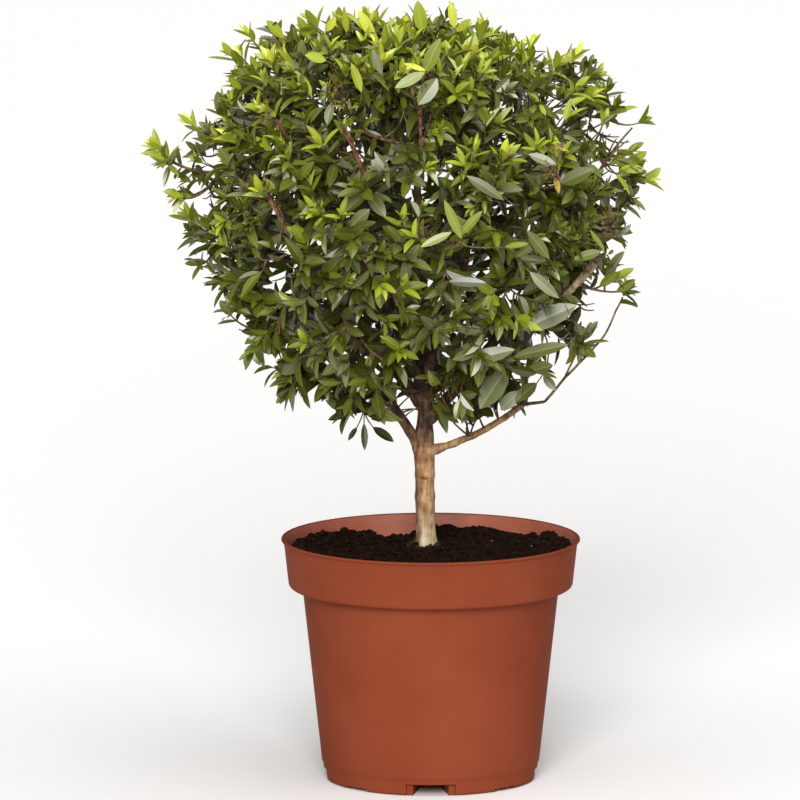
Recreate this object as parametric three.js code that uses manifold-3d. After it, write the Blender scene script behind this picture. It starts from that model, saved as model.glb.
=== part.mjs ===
// Standard myrtle: a loosely clipped ball of foliage on a short clear stem, growing in a
// round moulded nursery pot. Millimetres, +Z up, -Y is the front. The origin is the middle
// of the pot's flat underside.

import * as THREE from "three";
import { mergeVertices } from "three/addons/utils/BufferGeometryUtils.js";
import Module from "manifold-3d";

const wasm = await Module();
wasm.setup();

const clear = 0.3; // gap between neighbouring solids
const sliver = 0.01; // detail smaller than this is merged away

// Pot: a 150 mm wide injection-moulded pot with a stepped band and a rolled lip.
const pot = {
  height: 122,
  rimRadius: 75,
  lipDepth: 1.9,
  bandTop: 73.2, // outer radius just under the lip
  bandFoot: 70.5, // outer radius at the band's lower corner
  bandHeight: 24.3,
  shoulder: 64.1, // outer radius of the body where it meets the band
  foot: 53.8, // outer radius of the body run down to the ground
  ledge: 0.5, // step back of the body's lowest part
  ledgeHeight: 9.2,
  footRound: 2.2,
  wall: 1.3,
  floor: 2.8,
  sides: 36,
};

// Drainage: radial channels under the floor, each with a wider notch where it comes out
// through the wall, and small slots between them.
const channels = {
  count: 4,
  halfAngle: 10,
  inner: 20,
  height: 5.4,
  skin: 1.5, // of the raised floor over a channel
  bearing: -90,
  holeOut: 38,
  holeRadius: 3.5,
};
const notches = { count: 4, halfAngle: 13.4, inner: 51.8, height: 6, bearing: -90 };
const slots = { count: 4, halfAngle: 7.8, inner: 46, height: 1.6, bearing: -45 };

// Potting soil: it lies on the raised floor over the channels, with an uneven surface just
// below the rim that is heaped up round the stem.
const soil = { level: 114, heap: 5.8, heapRadius: 15, lump: 1.4, lumpWidth: 9, sides: 28, rings: 5 };

// Stem: from a flat cut on the soil to the fork.
const trunk = {
  foot: new THREE.Vector3(-2.6, 3, 117.8),
  waist: new THREE.Vector3(-2.6, 3, 140),
  fork: new THREE.Vector3(-3.2, 3, 168),
  flareRadius: 6,
  waistRadius: 4.7,
  forkRadius: 5.5,
  sides: 14,
  steps: 12,
};

// Boughs: each leaves its parent at a height, runs towards its elbow and ends at its tip.
const boughSides = 8;
const boughSteps = 5;
const boughs = [
  { name: "bough_leader", from: null, elbow: [-2, 3, 220], tip: [-6, 4, 280], radii: [4.5, 2.6] },
  { name: "bough_left", from: "trunk", height: 162, elbow: [-12.5, 1, 182.5], tip: [-32, -5, 206], radii: [3.1, 2.1] },
  { name: "bough_low_right", from: "trunk", height: 165.5, elbow: [23, 0, 171], tip: [46, -8, 191], radii: [2.5, 1.7] },
  { name: "bough_right", from: "leader", height: 181, elbow: [28, 9, 210], tip: [60, 4, 262], radii: [3.3, 2.4] },
  { name: "bough_high_left", from: "leader", height: 189, elbow: [-32, 2, 222], tip: [-60, -4, 273], radii: [3.1, 2.2] },
  { name: "bough_front_left", from: "leader", height: 198, elbow: [-17, -18, 226], tip: [-28, -41, 269], radii: [2.7, 2] },
  { name: "bough_front_right", from: "leader", height: 206, elbow: [8, -18, 230], tip: [17, -40, 268], radii: [2.7, 2] },
  { name: "bough_back_left", from: "leader", height: 193, elbow: [-14, 23, 224], tip: [-27, 41, 264], radii: [2.8, 2] },
  { name: "bough_back_right", from: "leader", height: 202, elbow: [8, 23, 228], tip: [15, 42, 264], radii: [2.8, 2] },
];

// Crown: a ball with a flattened top and a bowl-shaped underside, fuller on the left. Each
// row is a height, then the reach from the crown's axis to the left and to the right there.
const crown = {
  centre: new THREE.Vector3(-9, 2, 299),
  rows: [
    [160, 4, 4], [170, 18, 20], [180, 33, 38], [190, 49, 54], [200, 64, 69], [210, 79, 82],
    [224, 93, 91], [238, 100, 95], [254, 108, 99], [270, 113, 103], [285, 116, 108],
    [300, 119, 114], [318, 115, 113], [332, 106, 109], [345, 98, 101], [357, 94, 93],
    [366, 90, 80], [373, 82, 62], [379, 62, 40], [384, 36, 20], [387, 2, 2],
  ],
};

// Masses of foliage: each fills the part of the crown that is nearest to its heart.
const masses = [
  { name: "foliage_top", bough: "bough_leader", heart: [-7, 4, 338] },
  { name: "foliage_low_left", bough: "bough_left", heart: [-52, -14, 226] },
  { name: "foliage_low_right", bough: "bough_low_right", heart: [46, -16, 216] },
  { name: "foliage_right", bough: "bough_right", heart: [64, 0, 292] },
  { name: "foliage_left", bough: "bough_high_left", heart: [-82, -2, 294] },
  { name: "foliage_front_left", bough: "bough_front_left", heart: [-42, -62, 300] },
  { name: "foliage_front_right", bough: "bough_front_right", heart: [26, -64, 298] },
  { name: "foliage_back_left", bough: "bough_back_left", heart: [-44, 66, 292] },
  { name: "foliage_back_right", bough: "bough_back_right", heart: [26, 68, 292] },
];

// The dense inside of the crown: a lumpy shell, told in shares of the way to the outline. It
// dips towards the partings between the masses.
const core = { inner: 0.42, outer: 0.68, lumps: 0.06, dip: 0.16, dipWidth: 20, parting: 2, outerDetail: 4, innerDetail: 2 };

// Shoots: their tips are spread evenly over the crown, a little inside its outline, and the
// leaves on their ends stand in crossed pairs that reach it.
const shoots = { count: 116, depth: 19, uneven: 7, shortest: 24, straight: 45, radius: [1.5, 0.7], seed: 4711 };
const leaves = { length: 26, width: 10.5, thickness: 0.9, root: 2.4, arch: 0.09, droop: 0.12, margin: 0.4, spacing: 11 };

// The crossed pairs down from a shoot's tip: how far, how long and how far they lean out.
const pairs = [
  { down: 1.5, size: 0.85, lean: 28 },
  { down: 11.5, size: 1, lean: 54 },
];

// Stray shoots that escaped the shears: bearing from +X, height, and reach from the axis.
const strays = [
  { bearing: 182, height: 318, reach: 136 },
  { bearing: 178, height: 294, reach: 127 },
  { bearing: 4, height: 328, reach: 120 },
  { bearing: -4, height: 302, reach: 122 },
  { bearing: -6, height: 248, reach: 115 },
  { bearing: 186, height: 366, reach: 96 },
  { bearing: 90, height: 300, reach: 124 },
  { bearing: -90, height: 290, reach: 122 },
  { bearing: 190, height: 192, reach: 72 },
];

const radians = THREE.MathUtils.degToRad;
const up = new THREE.Vector3(0, 0, 1);

// Park and Miller's generator: the same numbers for the same seed, from 0 to 1.
function seeded(seed) {
  let state = seed;
  return () => {
    state = (state * 16807) % 2147483647;
    return state / 2147483647;
  };
}

function vector(values) {
  return new THREE.Vector3(...values);
}

// A closed geometry as a solid for cutting and joining, without faces that have no area.
function solid(geometry) {
  const bare = new THREE.BufferGeometry().setAttribute("position", geometry.getAttribute("position"));
  bare.setIndex(geometry.index);
  const merged = mergeVertices(bare, 1e-3);
  const corners = merged.index.array;
  const kept = [];
  for (let i = 0; i < corners.length; i += 3) {
    const [a, b, c] = corners.slice(i, i + 3);
    if (a !== b && b !== c && c !== a) kept.push(a, b, c);
  }
  return new wasm.Manifold(
    new wasm.Mesh({
      numProp: 3,
      vertProperties: new Float32Array(merged.attributes.position.array),
      triVerts: new Uint32Array(kept),
    }),
  );
}

// The outer surface of the largest body: loose scraps go, and sealed hollows are filled.
// Slivers are taken out first, and again after its corners are merged.
function largestBody(joined) {
  const largest = (body) => body.decompose().reduce((best, one) => (one.volume() > best.volume() ? one : best));
  let body = largest(joined.simplify(sliver));
  for (let pass = 0; pass < 2; pass += 1) body = largest(solid(geometryOf(body)));
  return body;
}

// Whether every edge still has two faces once the corners are rounded for saving.
function closesWhenRounded(body) {
  const { vertProperties, triVerts } = body.getMesh();
  const numbers = new Map();
  const numberOf = (corner) => {
    const place = vertProperties.slice(3 * corner, 3 * corner + 3).map((value) => Math.round(value * 1e4));
    const key = place.join();
    if (!numbers.has(key)) numbers.set(key, numbers.size);
    return numbers.get(key);
  };
  const edges = new Set();
  for (let i = 0; i < triVerts.length; i += 3) {
    const [a, b, c] = [0, 1, 2].map((j) => numberOf(triVerts[i + j]));
    if (a === b || b === c || c === a) continue;
    for (const edge of [`${a},${b}`, `${b},${c}`, `${c},${a}`]) {
      if (edges.has(edge)) return false;
      edges.add(edge);
    }
  }
  return [...edges].every((edge) => edges.has(edge.split(",").reverse().join()));
}

function geometryOf(body) {
  const { vertProperties, triVerts } = body.getMesh();
  const geometry = new THREE.BufferGeometry();
  geometry.setAttribute("position", new THREE.BufferAttribute(new Float32Array(vertProperties), 3));
  geometry.setIndex(new THREE.BufferAttribute(new Uint32Array(triVerts), 1));
  return geometry;
}

function meshOf(name, body, material) {
  const geometry = geometryOf(body);
  geometry.computeVertexNormals();
  const mesh = new THREE.Mesh(geometry, material);
  mesh.name = name;
  return mesh;
}

// A turned body about +Z, from a profile of [radius, height] points that ends on the axis.
function turned(profile, sides) {
  const points = profile.map(([radius, height]) => new THREE.Vector2(radius, height));
  return new THREE.LatheGeometry(points, sides).rotateX(Math.PI / 2);
}

// A wedge about the axis, from an inner to an outer radius, between two heights.
function wedge(bearing, halfAngle, inner, outer, low, high) {
  const shape = new THREE.Shape();
  const corner = (radius, angle) => [radius * Math.cos(radians(angle)), radius * Math.sin(radians(angle))];
  shape.moveTo(...corner(inner, bearing - halfAngle));
  shape.lineTo(...corner(outer, bearing - halfAngle));
  shape.lineTo(...corner(outer, bearing + halfAngle));
  shape.lineTo(...corner(inner, bearing + halfAngle));
  const geometry = new THREE.ExtrudeGeometry(shape, { depth: high - low, bevelEnabled: false });
  return solid(geometry.translate(0, 0, low));
}

// A tapering limb along a curve, from a cylinder whose rings follow the curve's frames.
function limb(curve, radiusAt, sides, steps) {
  const geometry = new THREE.CylinderGeometry(1, 1, 1, sides, steps);
  const frames = curve.computeFrenetFrames(steps, false);
  const position = geometry.getAttribute("position");
  for (let i = 0; i < position.count; i += 1) {
    const step = Math.round((0.5 - position.getY(i)) * steps);
    const along = step / steps;
    const across = Math.atan2(position.getZ(i), position.getX(i));
    const radius = Math.hypot(position.getX(i), position.getZ(i)) * radiusAt(along, across);
    const point = curve
      .getPoint(along)
      .addScaledVector(frames.normals[step], radius * Math.cos(across))
      .addScaledVector(frames.binormals[step], -radius * Math.sin(across));
    position.setXYZ(i, point.x, point.y, point.z);
  }
  const made = solid(geometry);
  return made.volume() > 0 ? made : solid(flipped(geometry));
}

function flipped(geometry) {
  const order = geometry.index.array;
  for (let i = 0; i < order.length; i += 3) [order[i + 1], order[i + 2]] = [order[i + 2], order[i + 1]];
  return geometry;
}

// Pot

function outerRadiusAt(height) {
  const bodyTop = pot.height - pot.bandHeight;
  return pot.foot + ((pot.shoulder - pot.foot) * height) / bodyTop;
}

function potOutside() {
  const { height, rimRadius, lipDepth, bandTop, bandFoot, footRound, ledge, ledgeHeight } = pot;
  const shelf = height - pot.bandHeight;
  return turned(
    [
      [0, 0],
      [pot.foot - ledge - footRound, 0],
      [outerRadiusAt(footRound) - ledge - 0.6, 0.7],
      [outerRadiusAt(footRound) - ledge, footRound],
      [outerRadiusAt(ledgeHeight - 1) - ledge, ledgeHeight - 1],
      [outerRadiusAt(ledgeHeight), ledgeHeight],
      [pot.shoulder, shelf],
      [bandFoot - 2.4, shelf],
      [bandFoot - 0.5, shelf + 0.9],
      [bandFoot + 0.1, shelf + 2.8],
      [bandTop, height - lipDepth],
      [rimRadius - 0.4, height - lipDepth + 0.4],
      [rimRadius, height - lipDepth / 2],
      [rimRadius - 0.9, height],
      [0, height],
    ],
    pot.sides,
  );
}

// The space inside the pot, grown inwards by a gap for what fills it.
function potInside(inset) {
  const { height, wall, bandTop, bandFoot, shoulder } = pot;
  const shelf = height - pot.bandHeight + wall;
  return turned(
    [
      [0, pot.floor + inset],
      [outerRadiusAt(pot.floor) - wall - inset - 1, pot.floor + inset],
      [outerRadiusAt(pot.floor + 2) - wall - inset, pot.floor + inset + 1],
      [shoulder - wall - inset, shelf + inset],
      [bandFoot - wall - 1.2 - inset, shelf + inset],
      [bandFoot - wall - inset, shelf + 2 + inset],
      [bandTop - wall - 0.2 - inset, height - pot.lipDepth],
      [pot.rimRadius - 2.6 - inset, height + 1],
      [0, height + 1],
    ],
    pot.sides,
  );
}

// The raised floor over each channel and notch, seen from inside the pot.
function humps({ count, halfAngle, inner, height, bearing }) {
  const { skin } = channels;
  return Array.from({ length: count }, (_, i) =>
    wedge(bearing + (i * 360) / count, halfAngle + 2, inner - skin, pot.rimRadius, 0, height + skin),
  );
}

function ringOfWedges({ count, halfAngle, inner, height, bearing }) {
  return Array.from({ length: count }, (_, i) =>
    wedge(bearing + (i * 360) / count, halfAngle, inner, pot.rimRadius, -1, height),
  );
}

function drainHoles() {
  const { count, bearing, holeOut, holeRadius, height } = channels;
  return Array.from({ length: count }, (_, i) => {
    const angle = radians(bearing + (i * 360) / count);
    const hole = new THREE.CylinderGeometry(holeRadius, holeRadius, 8, 8).rotateX(Math.PI / 2);
    return solid(hole.translate(holeOut * Math.cos(angle), holeOut * Math.sin(angle), height + 1));
  });
}

function makePot() {
  const cavity = wasm.Manifold.difference([solid(potInside(0)), ...humps(channels), ...humps(notches)]);
  const cuts = [...ringOfWedges(channels), ...ringOfWedges(notches), ...ringOfWedges(slots), ...drainHoles()];
  return wasm.Manifold.difference([solid(potOutside()), cavity, ...cuts]);
}

// Soil

// Smooth lumps from a lattice of seeded heights, from -1 to 1.
function lumpAt(x, y) {
  const heightAt = (i, j) => {
    const mixed = Math.sin(i * 127.1 + j * 311.7) * 43758.5453;
    return 2 * (mixed - Math.floor(mixed)) - 1;
  };
  const [u, v] = [x / soil.lumpWidth, y / soil.lumpWidth];
  const [i, j] = [Math.floor(u), Math.floor(v)];
  const ease = (t) => t * t * (3 - 2 * t);
  const [s, t] = [ease(u - i), ease(v - j)];
  const near = THREE.MathUtils.lerp(heightAt(i, j), heightAt(i + 1, j), s);
  const far = THREE.MathUtils.lerp(heightAt(i, j + 1), heightAt(i + 1, j + 1), s);
  return THREE.MathUtils.lerp(near, far, t);
}

function soilHeight(x, y) {
  const fromStem = Math.hypot(x - trunk.foot.x, y - trunk.foot.y) / soil.heapRadius;
  return soil.level + soil.heap * Math.exp(-fromStem * fromStem) + soil.lump * lumpAt(x, y);
}

function makeSoil() {
  const reach = pot.rimRadius - 6;
  const rings = Array.from({ length: soil.rings }, (_, i) => [reach * (1 - i / soil.rings), soil.level]);
  const base = notches.height + channels.skin + clear;
  const block = turned([[0, base], [reach, base], ...rings, [0, soil.level]], soil.sides);
  const position = block.getAttribute("position");
  for (let i = 0; i < position.count; i += 1) {
    if (position.getZ(i) > base + 1) position.setZ(i, soilHeight(position.getX(i), position.getY(i)));
  }
  const seat = new THREE.CylinderGeometry(trunk.flareRadius + 1.2, trunk.flareRadius + 1.2, 20, 16);
  seat.rotateX(Math.PI / 2).translate(trunk.foot.x, trunk.foot.y, trunk.foot.z - clear + 10);
  const filled = solid(potInside(clear)).intersect(solid(block));
  return filled.subtract(solid(seat));
}

// Trunk and boughs

const trunkCurve = new THREE.QuadraticBezierCurve3(trunk.foot, trunk.waist, trunk.fork);

// A flared foot with three buttresses, a lumpy waist and a swelling below the fork.
function trunkRadius(along, across) {
  const flare = Math.exp(-along * 9);
  const swell = THREE.MathUtils.smoothstep(along, 0.72, 1);
  const round = trunk.waistRadius + (trunk.flareRadius - trunk.waistRadius) * flare;
  const knots = 0.16 * Math.sin(along * 17 + across) + 0.14 * Math.sin(along * 29 - 2 * across);
  return round + (trunk.forkRadius - trunk.waistRadius) * swell + 0.8 * flare * Math.cos(3 * across) + knots;
}

function boughCurve({ from, height, elbow, tip }) {
  const start = trunk.fork.clone().setZ(trunk.fork.z + clear);
  if (from === "trunk") start.copy(trunkCurve.getPoint((height - trunk.foot.z) / (trunk.fork.z - trunk.foot.z)));
  if (from === "leader") start.copy(leaderPoint(height));
  return new THREE.QuadraticBezierCurve3(start, vector(elbow), vector(tip));
}

function leaderPoint(height) {
  const curve = boughCurve(boughs[0]);
  return curve.getPoint((height - curve.v0.z) / (curve.v2.z - curve.v0.z));
}

const boughRadius = ({ radii }, along) => THREE.MathUtils.lerp(radii[0], radii[1], Math.sqrt(along));

function makeTrunk(extra = 0) {
  return limb(trunkCurve, (along, across) => trunkRadius(along, across) + extra, trunk.sides, trunk.steps);
}

function makeBough(bough, extra = 0) {
  return limb(boughCurve(bough), (along) => boughRadius(bough, along) + extra, boughSides, boughSteps);
}

// Each bough is cut back from the trunk and from the boughs before it, a gap clear.
function makeBoughs() {
  const cutters = [makeTrunk(clear)];
  const made = [];
  for (const bough of boughs) {
    made.push(largestBody(wasm.Manifold.difference([makeBough(bough), ...cutters])));
    cutters.push(makeBough(bough, clear));
  }
  return made;
}

// Crown

// How far the crown reaches from its axis at a height and bearing, between the rows' two sides.
function crownReach(height, bearing) {
  const { rows } = crown;
  const above = rows.findIndex(([top]) => top > height);
  if (above < 1) return 0;
  const [low, high] = [rows[above - 1], rows[above]];
  const share = (height - low[0]) / (high[0] - low[0]);
  const left = THREE.MathUtils.lerp(low[1], high[1], share);
  const right = THREE.MathUtils.lerp(low[2], high[2], share);
  const lumpy = 1 + 0.02 * Math.sin(3 * bearing + 0.5) + 0.015 * Math.sin(5 * bearing + 2);
  return lumpy * THREE.MathUtils.lerp(left, right, (1 + Math.cos(bearing)) / 2);
}

// The point where a direction from the crown's centre meets its outline, found by halving.
function onOutline(direction) {
  const way = direction.clone().normalize();
  const bearing = Math.atan2(way.y, way.x);
  const flat = Math.hypot(way.x, way.y);
  let [low, high] = [0, 150];
  for (let step = 0; step < 18; step += 1) {
    const middle = (low + high) / 2;
    if (flat * middle < crownReach(crown.centre.z + way.z * middle, bearing)) low = middle;
    else high = middle;
  }
  return crown.centre.clone().addScaledVector(way, low);
}

// How far out a point is from the crown's centre, as a share of the way to its outline.
function crownShare(point) {
  const offset = point.clone().sub(crown.centre);
  return offset.length() / onOutline(offset).distanceTo(crown.centre);
}

// How far a point lies inside its mass's own space, from the planes midway between hearts.
function roomAt(point, mass) {
  const own = vector(mass.heart);
  let least = Infinity;
  for (const other of masses) {
    if (other === mass) continue;
    const heart = vector(other.heart);
    const room = (point.distanceToSquared(heart) - point.distanceToSquared(own)) / (2 * own.distanceTo(heart));
    least = Math.min(least, room);
  }
  return least;
}

function nearestMass(point) {
  return masses.reduce((best, mass) =>
    vector(mass.heart).distanceTo(point) < vector(best.heart).distanceTo(point) ? mass : best,
  );
}

// The space between a straight stretch and the nearest trunk or bough surface.
const limbBeads = [];
for (let i = 0; i <= 24; i += 1) {
  limbBeads.push({ at: trunkCurve.getPoint(i / 24), radius: trunkRadius(i / 24, 0) });
  for (const bough of boughs) {
    limbBeads.push({ at: boughCurve(bough).getPoint(i / 24), radius: boughRadius(bough, i / 24) });
  }
}

function clearOfLimbs(start, end, halfWidth) {
  const stretch = new THREE.Line3(start, end);
  const nearest = new THREE.Vector3();
  return limbBeads.every(({ at, radius }) => {
    stretch.closestPointToPoint(at, true, nearest);
    return nearest.distanceTo(at) > radius + halfWidth + 1;
  });
}

// Shoot tips: a spiral of even steps over the crown, then the strays.
function shootTips() {
  const random = seeded(shoots.seed);
  const golden = Math.PI * (3 - Math.sqrt(5));
  const tips = [];
  for (let i = 0; i < shoots.count; i += 1) {
    const z = 1 - (2 * (i + 0.5)) / shoots.count;
    const out = Math.sqrt(1 - z * z);
    const bearing = i * golden;
    const direction = new THREE.Vector3(out * Math.cos(bearing), out * Math.sin(bearing), z);
    const edge = onOutline(direction);
    const inward = crown.centre.clone().sub(edge).normalize();
    tips.push(edge.addScaledVector(inward, shoots.depth + shoots.uneven * random()));
  }
  for (const { bearing, height, reach } of strays) {
    const angle = radians(bearing);
    const out = reach - leaves.length * pairs[0].size;
    tips.push(new THREE.Vector3(out * Math.cos(angle), out * Math.sin(angle), height).add({
      x: crown.centre.x,
      y: crown.centre.y,
      z: 0,
    }));
  }
  return tips;
}

// A mass's own stem: from its bough's tip, a gap clear, on to a hub inside the shell.
function stemOf(mass) {
  const curve = boughCurve(boughs.find(({ name }) => name === mass.bough));
  const along = curve.getTangent(1);
  const start = curve.getPoint(1).addScaledVector(along, clear);
  const heart = vector(mass.heart);
  const hub = crown.centre.clone().lerp(heart, (0.86 * core.outer) / crownShare(heart));
  const elbow = start.clone().addScaledVector(along, 0.4 * start.distanceTo(hub));
  return new THREE.QuadraticBezierCurve3(start, elbow, hub);
}

// Places on a curve where a shoot can branch off, with the way the curve runs there.
function nodesOn(curve, shares) {
  return shares.map((share) => ({ at: curve.getPoint(share), way: curve.getTangent(share) }));
}

// A shoot branches off where it is short and bends little, never too near its tip, and where
// its way is clear of limbs and of the neighbouring masses.
function shootTo(tip, nodes, mass) {
  const ways = [];
  for (const node of nodes) {
    const span = tip.clone().sub(node.at);
    const distance = span.length();
    const bend = 1 - span.normalize().dot(node.way);
    if (distance >= shoots.shortest) ways.push({ ...node, distance, cost: distance * (1 + 0.6 * bend) });
  }
  for (const { at, way, distance } of ways.sort((a, b) => a.cost - b.cost)) {
    const elbow = at.clone().addScaledVector(way, 0.35 * distance);
    const curve = new THREE.QuadraticBezierCurve3(at, elbow, tip);
    const stretches = [0, 0.25, 0.5, 0.75].map((share) => [curve.getPoint(share), curve.getPoint(share + 0.25)]);
    const clearWay = stretches.every(([start, end]) => clearOfLimbs(start, end, shoots.radius[0]));
    if (roomAt(elbow, mass) > 2 && clearWay) return curve;
  }
  return null;
}

// A leaf's wide part and its tip: a blade with a ridge that arches along its length.
function leafPoints(root, along, upper, size) {
  const length = leaves.length * size;
  const side = upper.clone().cross(along).normalize();
  const face = along.clone().cross(side);
  const middle = root.clone().addScaledVector(along, 0.48 * length).addScaledVector(face, leaves.arch * length);
  return {
    right: middle.clone().addScaledVector(side, (leaves.width * size) / 2),
    ridge: middle.clone().addScaledVector(face, leaves.thickness),
    left: middle.clone().addScaledVector(side, (-leaves.width * size) / 2),
    tip: root.clone().addScaledVector(along, length).addScaledVector(face, -leaves.droop * length),
  };
}

function fits(points, mass) {
  return Object.values(points).every((point) => roomAt(point, mass) > leaves.margin);
}

// Whether a leaf would run into one that grew earlier.
function crowded(middle, earlier) {
  return earlier.some((other) => other.distanceTo(middle) < leaves.spacing);
}

// The leaf for one side of a twig, turned a little where it would leave the mass's space or
// meet a limb or another leaf, or none.
function leafFor(root, axis, outward, { size, lean }, mass, earlier) {
  for (const turn of [0, 25, -25, 50, -50]) {
    for (const more of [0, -18, 14]) {
      const away = outward.clone().applyAxisAngle(axis, radians(turn));
      const tilt = radians(lean + more);
      const along = axis.clone().multiplyScalar(Math.cos(tilt)).addScaledVector(away, Math.sin(tilt));
      const points = leafPoints(root, along, axis, size);
      const middle = root.clone().lerp(points.tip, 0.55);
      if (crowded(middle, earlier) || !fits(points, mass)) continue;
      if (!clearOfLimbs(root, points.tip, leaves.width / 2)) continue;
      return { points, middle };
    }
  }
  return null;
}

// One shoot as a closed surface: a three-sided twig whose sides open into leaves.
function shootSolid(curve, mass, spin, earlier) {
  const length = curve.getLength();
  const corners = [];
  const faces = [];
  const middles = [];
  const addCorner = (point) => corners.push(point) - 1;
  const start = new THREE.Vector3().crossVectors(curve.getTangentAt(0), up).normalize();

  const ringAt = (distance, turn) => {
    const share = THREE.MathUtils.clamp(distance / length, 0, 1);
    const centre = curve.getPointAt(share);
    const axis = curve.getTangentAt(share);
    const level = start.clone().addScaledVector(axis, -start.dot(axis)).normalize();
    const radius = THREE.MathUtils.lerp(...shoots.radius, share);
    const sides = [0, 120, 240].map((angle) => level.clone().applyAxisAngle(axis, radians(spin + turn + angle)));
    return { centre, axis, sides, ids: sides.map((side) => addCorner(centre.clone().addScaledVector(side, radius))) };
  };

  const join = (low, high, grow) => {
    for (let side = 0; side < 3; side += 1) {
      const next = (side + 1) % 3;
      const [a, b, c, d] = [low.ids[side], low.ids[next], high.ids[next], high.ids[side]];
      const points = grow ? grow(side) : null;
      if (!points) {
        faces.push(a, b, d, b, c, d);
        continue;
      }
      const [right, ridge, left, tip] = ["right", "ridge", "left", "tip"].map((key) => addCorner(points[key]));
      faces.push(a, b, right, a, right, left, b, c, right, c, ridge, right, c, d, ridge, d, left, ridge, d, a, left);
      faces.push(left, right, tip, right, ridge, tip, ridge, left, tip);
    }
  };

  let low = ringAt(0, 0);
  faces.push(low.ids[0], low.ids[2], low.ids[1]);
  if (length > shoots.straight) {
    const bend = ringAt(0.45 * (length - pairs[pairs.length - 1].down), 0);
    join(low, bend, null);
    low = bend;
  }
  for (let i = pairs.length - 1; i >= 0; i -= 1) {
    const { down } = pairs[i];
    const turn = (pairs.length - 1 - i) * 60;
    const under = ringAt(length - down - leaves.root / 2, turn);
    const over = ringAt(length - down + leaves.root / 2, turn);
    join(low, under, null);
    join(under, over, (side) => {
      if (side === 2) return null;
      const root = under.centre.clone().lerp(over.centre, 0.5);
      const outward = under.sides[1].clone().applyAxisAngle(under.axis, radians(side === 0 ? -90 : 90));
      const leaf = leafFor(root, under.axis, outward, pairs[i], mass, earlier);
      if (!leaf) return null;
      middles.push(leaf.middle);
      return leaf.points;
    });
    low = over;
  }
  const tip = addCorner(curve.getPointAt(1).addScaledVector(low.axis, 1));
  for (let side = 0; side < 3; side += 1) faces.push(low.ids[side], low.ids[(side + 1) % 3], tip);

  const geometry = new THREE.BufferGeometry().setFromPoints(corners);
  return { body: solid(geometry.setIndex(faces)), middles };
}

// A lumpy ball at a share of the way to the crown's outline.
function crownBall(share, detail) {
  const geometry = new THREE.IcosahedronGeometry(1, detail);
  const position = geometry.getAttribute("position");
  const direction = new THREE.Vector3();
  for (let i = 0; i < position.count; i += 1) {
    const { x, y, z } = direction.fromBufferAttribute(position, i).normalize();
    const lumps = Math.sin(9 * x + 2) * Math.sin(8 * y + 1) + 0.6 * Math.sin(11 * z + 5 * x);
    const edge = onOutline(direction);
    const room = roomAt(edge, nearestMass(edge));
    const dip = core.dip * (1 - THREE.MathUtils.smoothstep(room, 0, core.dipWidth));
    edge.lerpVectors(crown.centre, edge, share * (1 + core.lumps * lumps - dip));
    position.setXYZ(i, edge.x, edge.y, edge.z);
  }
  return solid(geometry);
}

// The part of the crown's shell in a mass's own space, cut clear of the limbs.
function makeCore(mass, shell) {
  const own = vector(mass.heart);
  let body = shell;
  for (const other of masses) {
    if (other === mass) continue;
    const heart = vector(other.heart);
    const normal = own.clone().sub(heart).normalize();
    const middle = own.clone().add(heart).multiplyScalar(0.5);
    body = body.trimByPlane(normal.toArray(), normal.dot(middle) + core.parting);
  }
  return largestBody(wasm.Manifold.difference([body, ...boughs.map((bough) => makeBough(bough, 1))]));
}

function makeMass(mass, tips, shell) {
  const random = seeded(shoots.seed + 7 * masses.indexOf(mass));
  const bough = boughs.find(({ name }) => name === mass.bough);
  const stem = stemOf(mass);
  const stemRadius = (along) => THREE.MathUtils.lerp(bough.radii[1], shoots.radius[0], along);
  const nodes = nodesOn(stem, [0.3, 0.45, 0.6, 0.75, 0.9]);
  const earlier = [];
  let body = largestBody(limb(stem, stemRadius, 6, 3).add(makeCore(mass, shell)));
  for (const tip of tips) {
    if (nearestMass(tip) !== mass) continue;
    while (roomAt(tip, mass) < 4) tip.lerp(vector(mass.heart), 0.04);
    const curve = shootTo(tip, nodes, mass);
    if (!curve) continue;
    const spin = random() * 360;
    const choices = [0, 23, 47, 71, 95].map((turn) => shootSolid(curve, mass, spin + turn, earlier));
    for (const shoot of choices.sort((a, b) => b.middles.length - a.middles.length)) {
      const grown = largestBody(body.add(shoot.body));
      if (!closesWhenRounded(grown)) continue;
      body = grown;
      earlier.push(...shoot.middles);
      break;
    }
    nodes.push(...nodesOn(curve, [0.25, 0.45, 0.6]));
  }
  return body;
}

// Materials and assembly

const colours = { pot: 0x9c4e37, soil: 0x20140e, bark: 0xb4906f, twigBark: 0x8a6248, foliage: 0x4d5f22 };
const plain = (color, roughness) => new THREE.MeshStandardMaterial({ color, roughness, metalness: 0 });
const materials = {
  pot: plain(colours.pot, 0.45),
  soil: plain(colours.soil, 0.95),
  bark: plain(colours.bark, 0.8),
  twigBark: plain(colours.twigBark, 0.75),
  foliage: plain(colours.foliage, 0.5),
};

const plant = new THREE.Group();
plant.add(meshOf("pot", makePot(), materials.pot));
plant.add(meshOf("soil", makeSoil(), materials.soil));
plant.add(meshOf("trunk", makeTrunk(), materials.bark));
makeBoughs().forEach((body, i) => plant.add(meshOf(boughs[i].name, body, materials.twigBark)));
const tips = shootTips();
const shell = crownBall(core.outer, core.outerDetail).subtract(crownBall(core.inner, core.innerDetail));
for (const mass of masses) plant.add(meshOf(mass.name, makeMass(mass, tips, shell), materials.foliage));

export default plant;
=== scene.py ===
import itertools
import math

import bpy
import numpy as np
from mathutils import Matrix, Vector, noise


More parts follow.
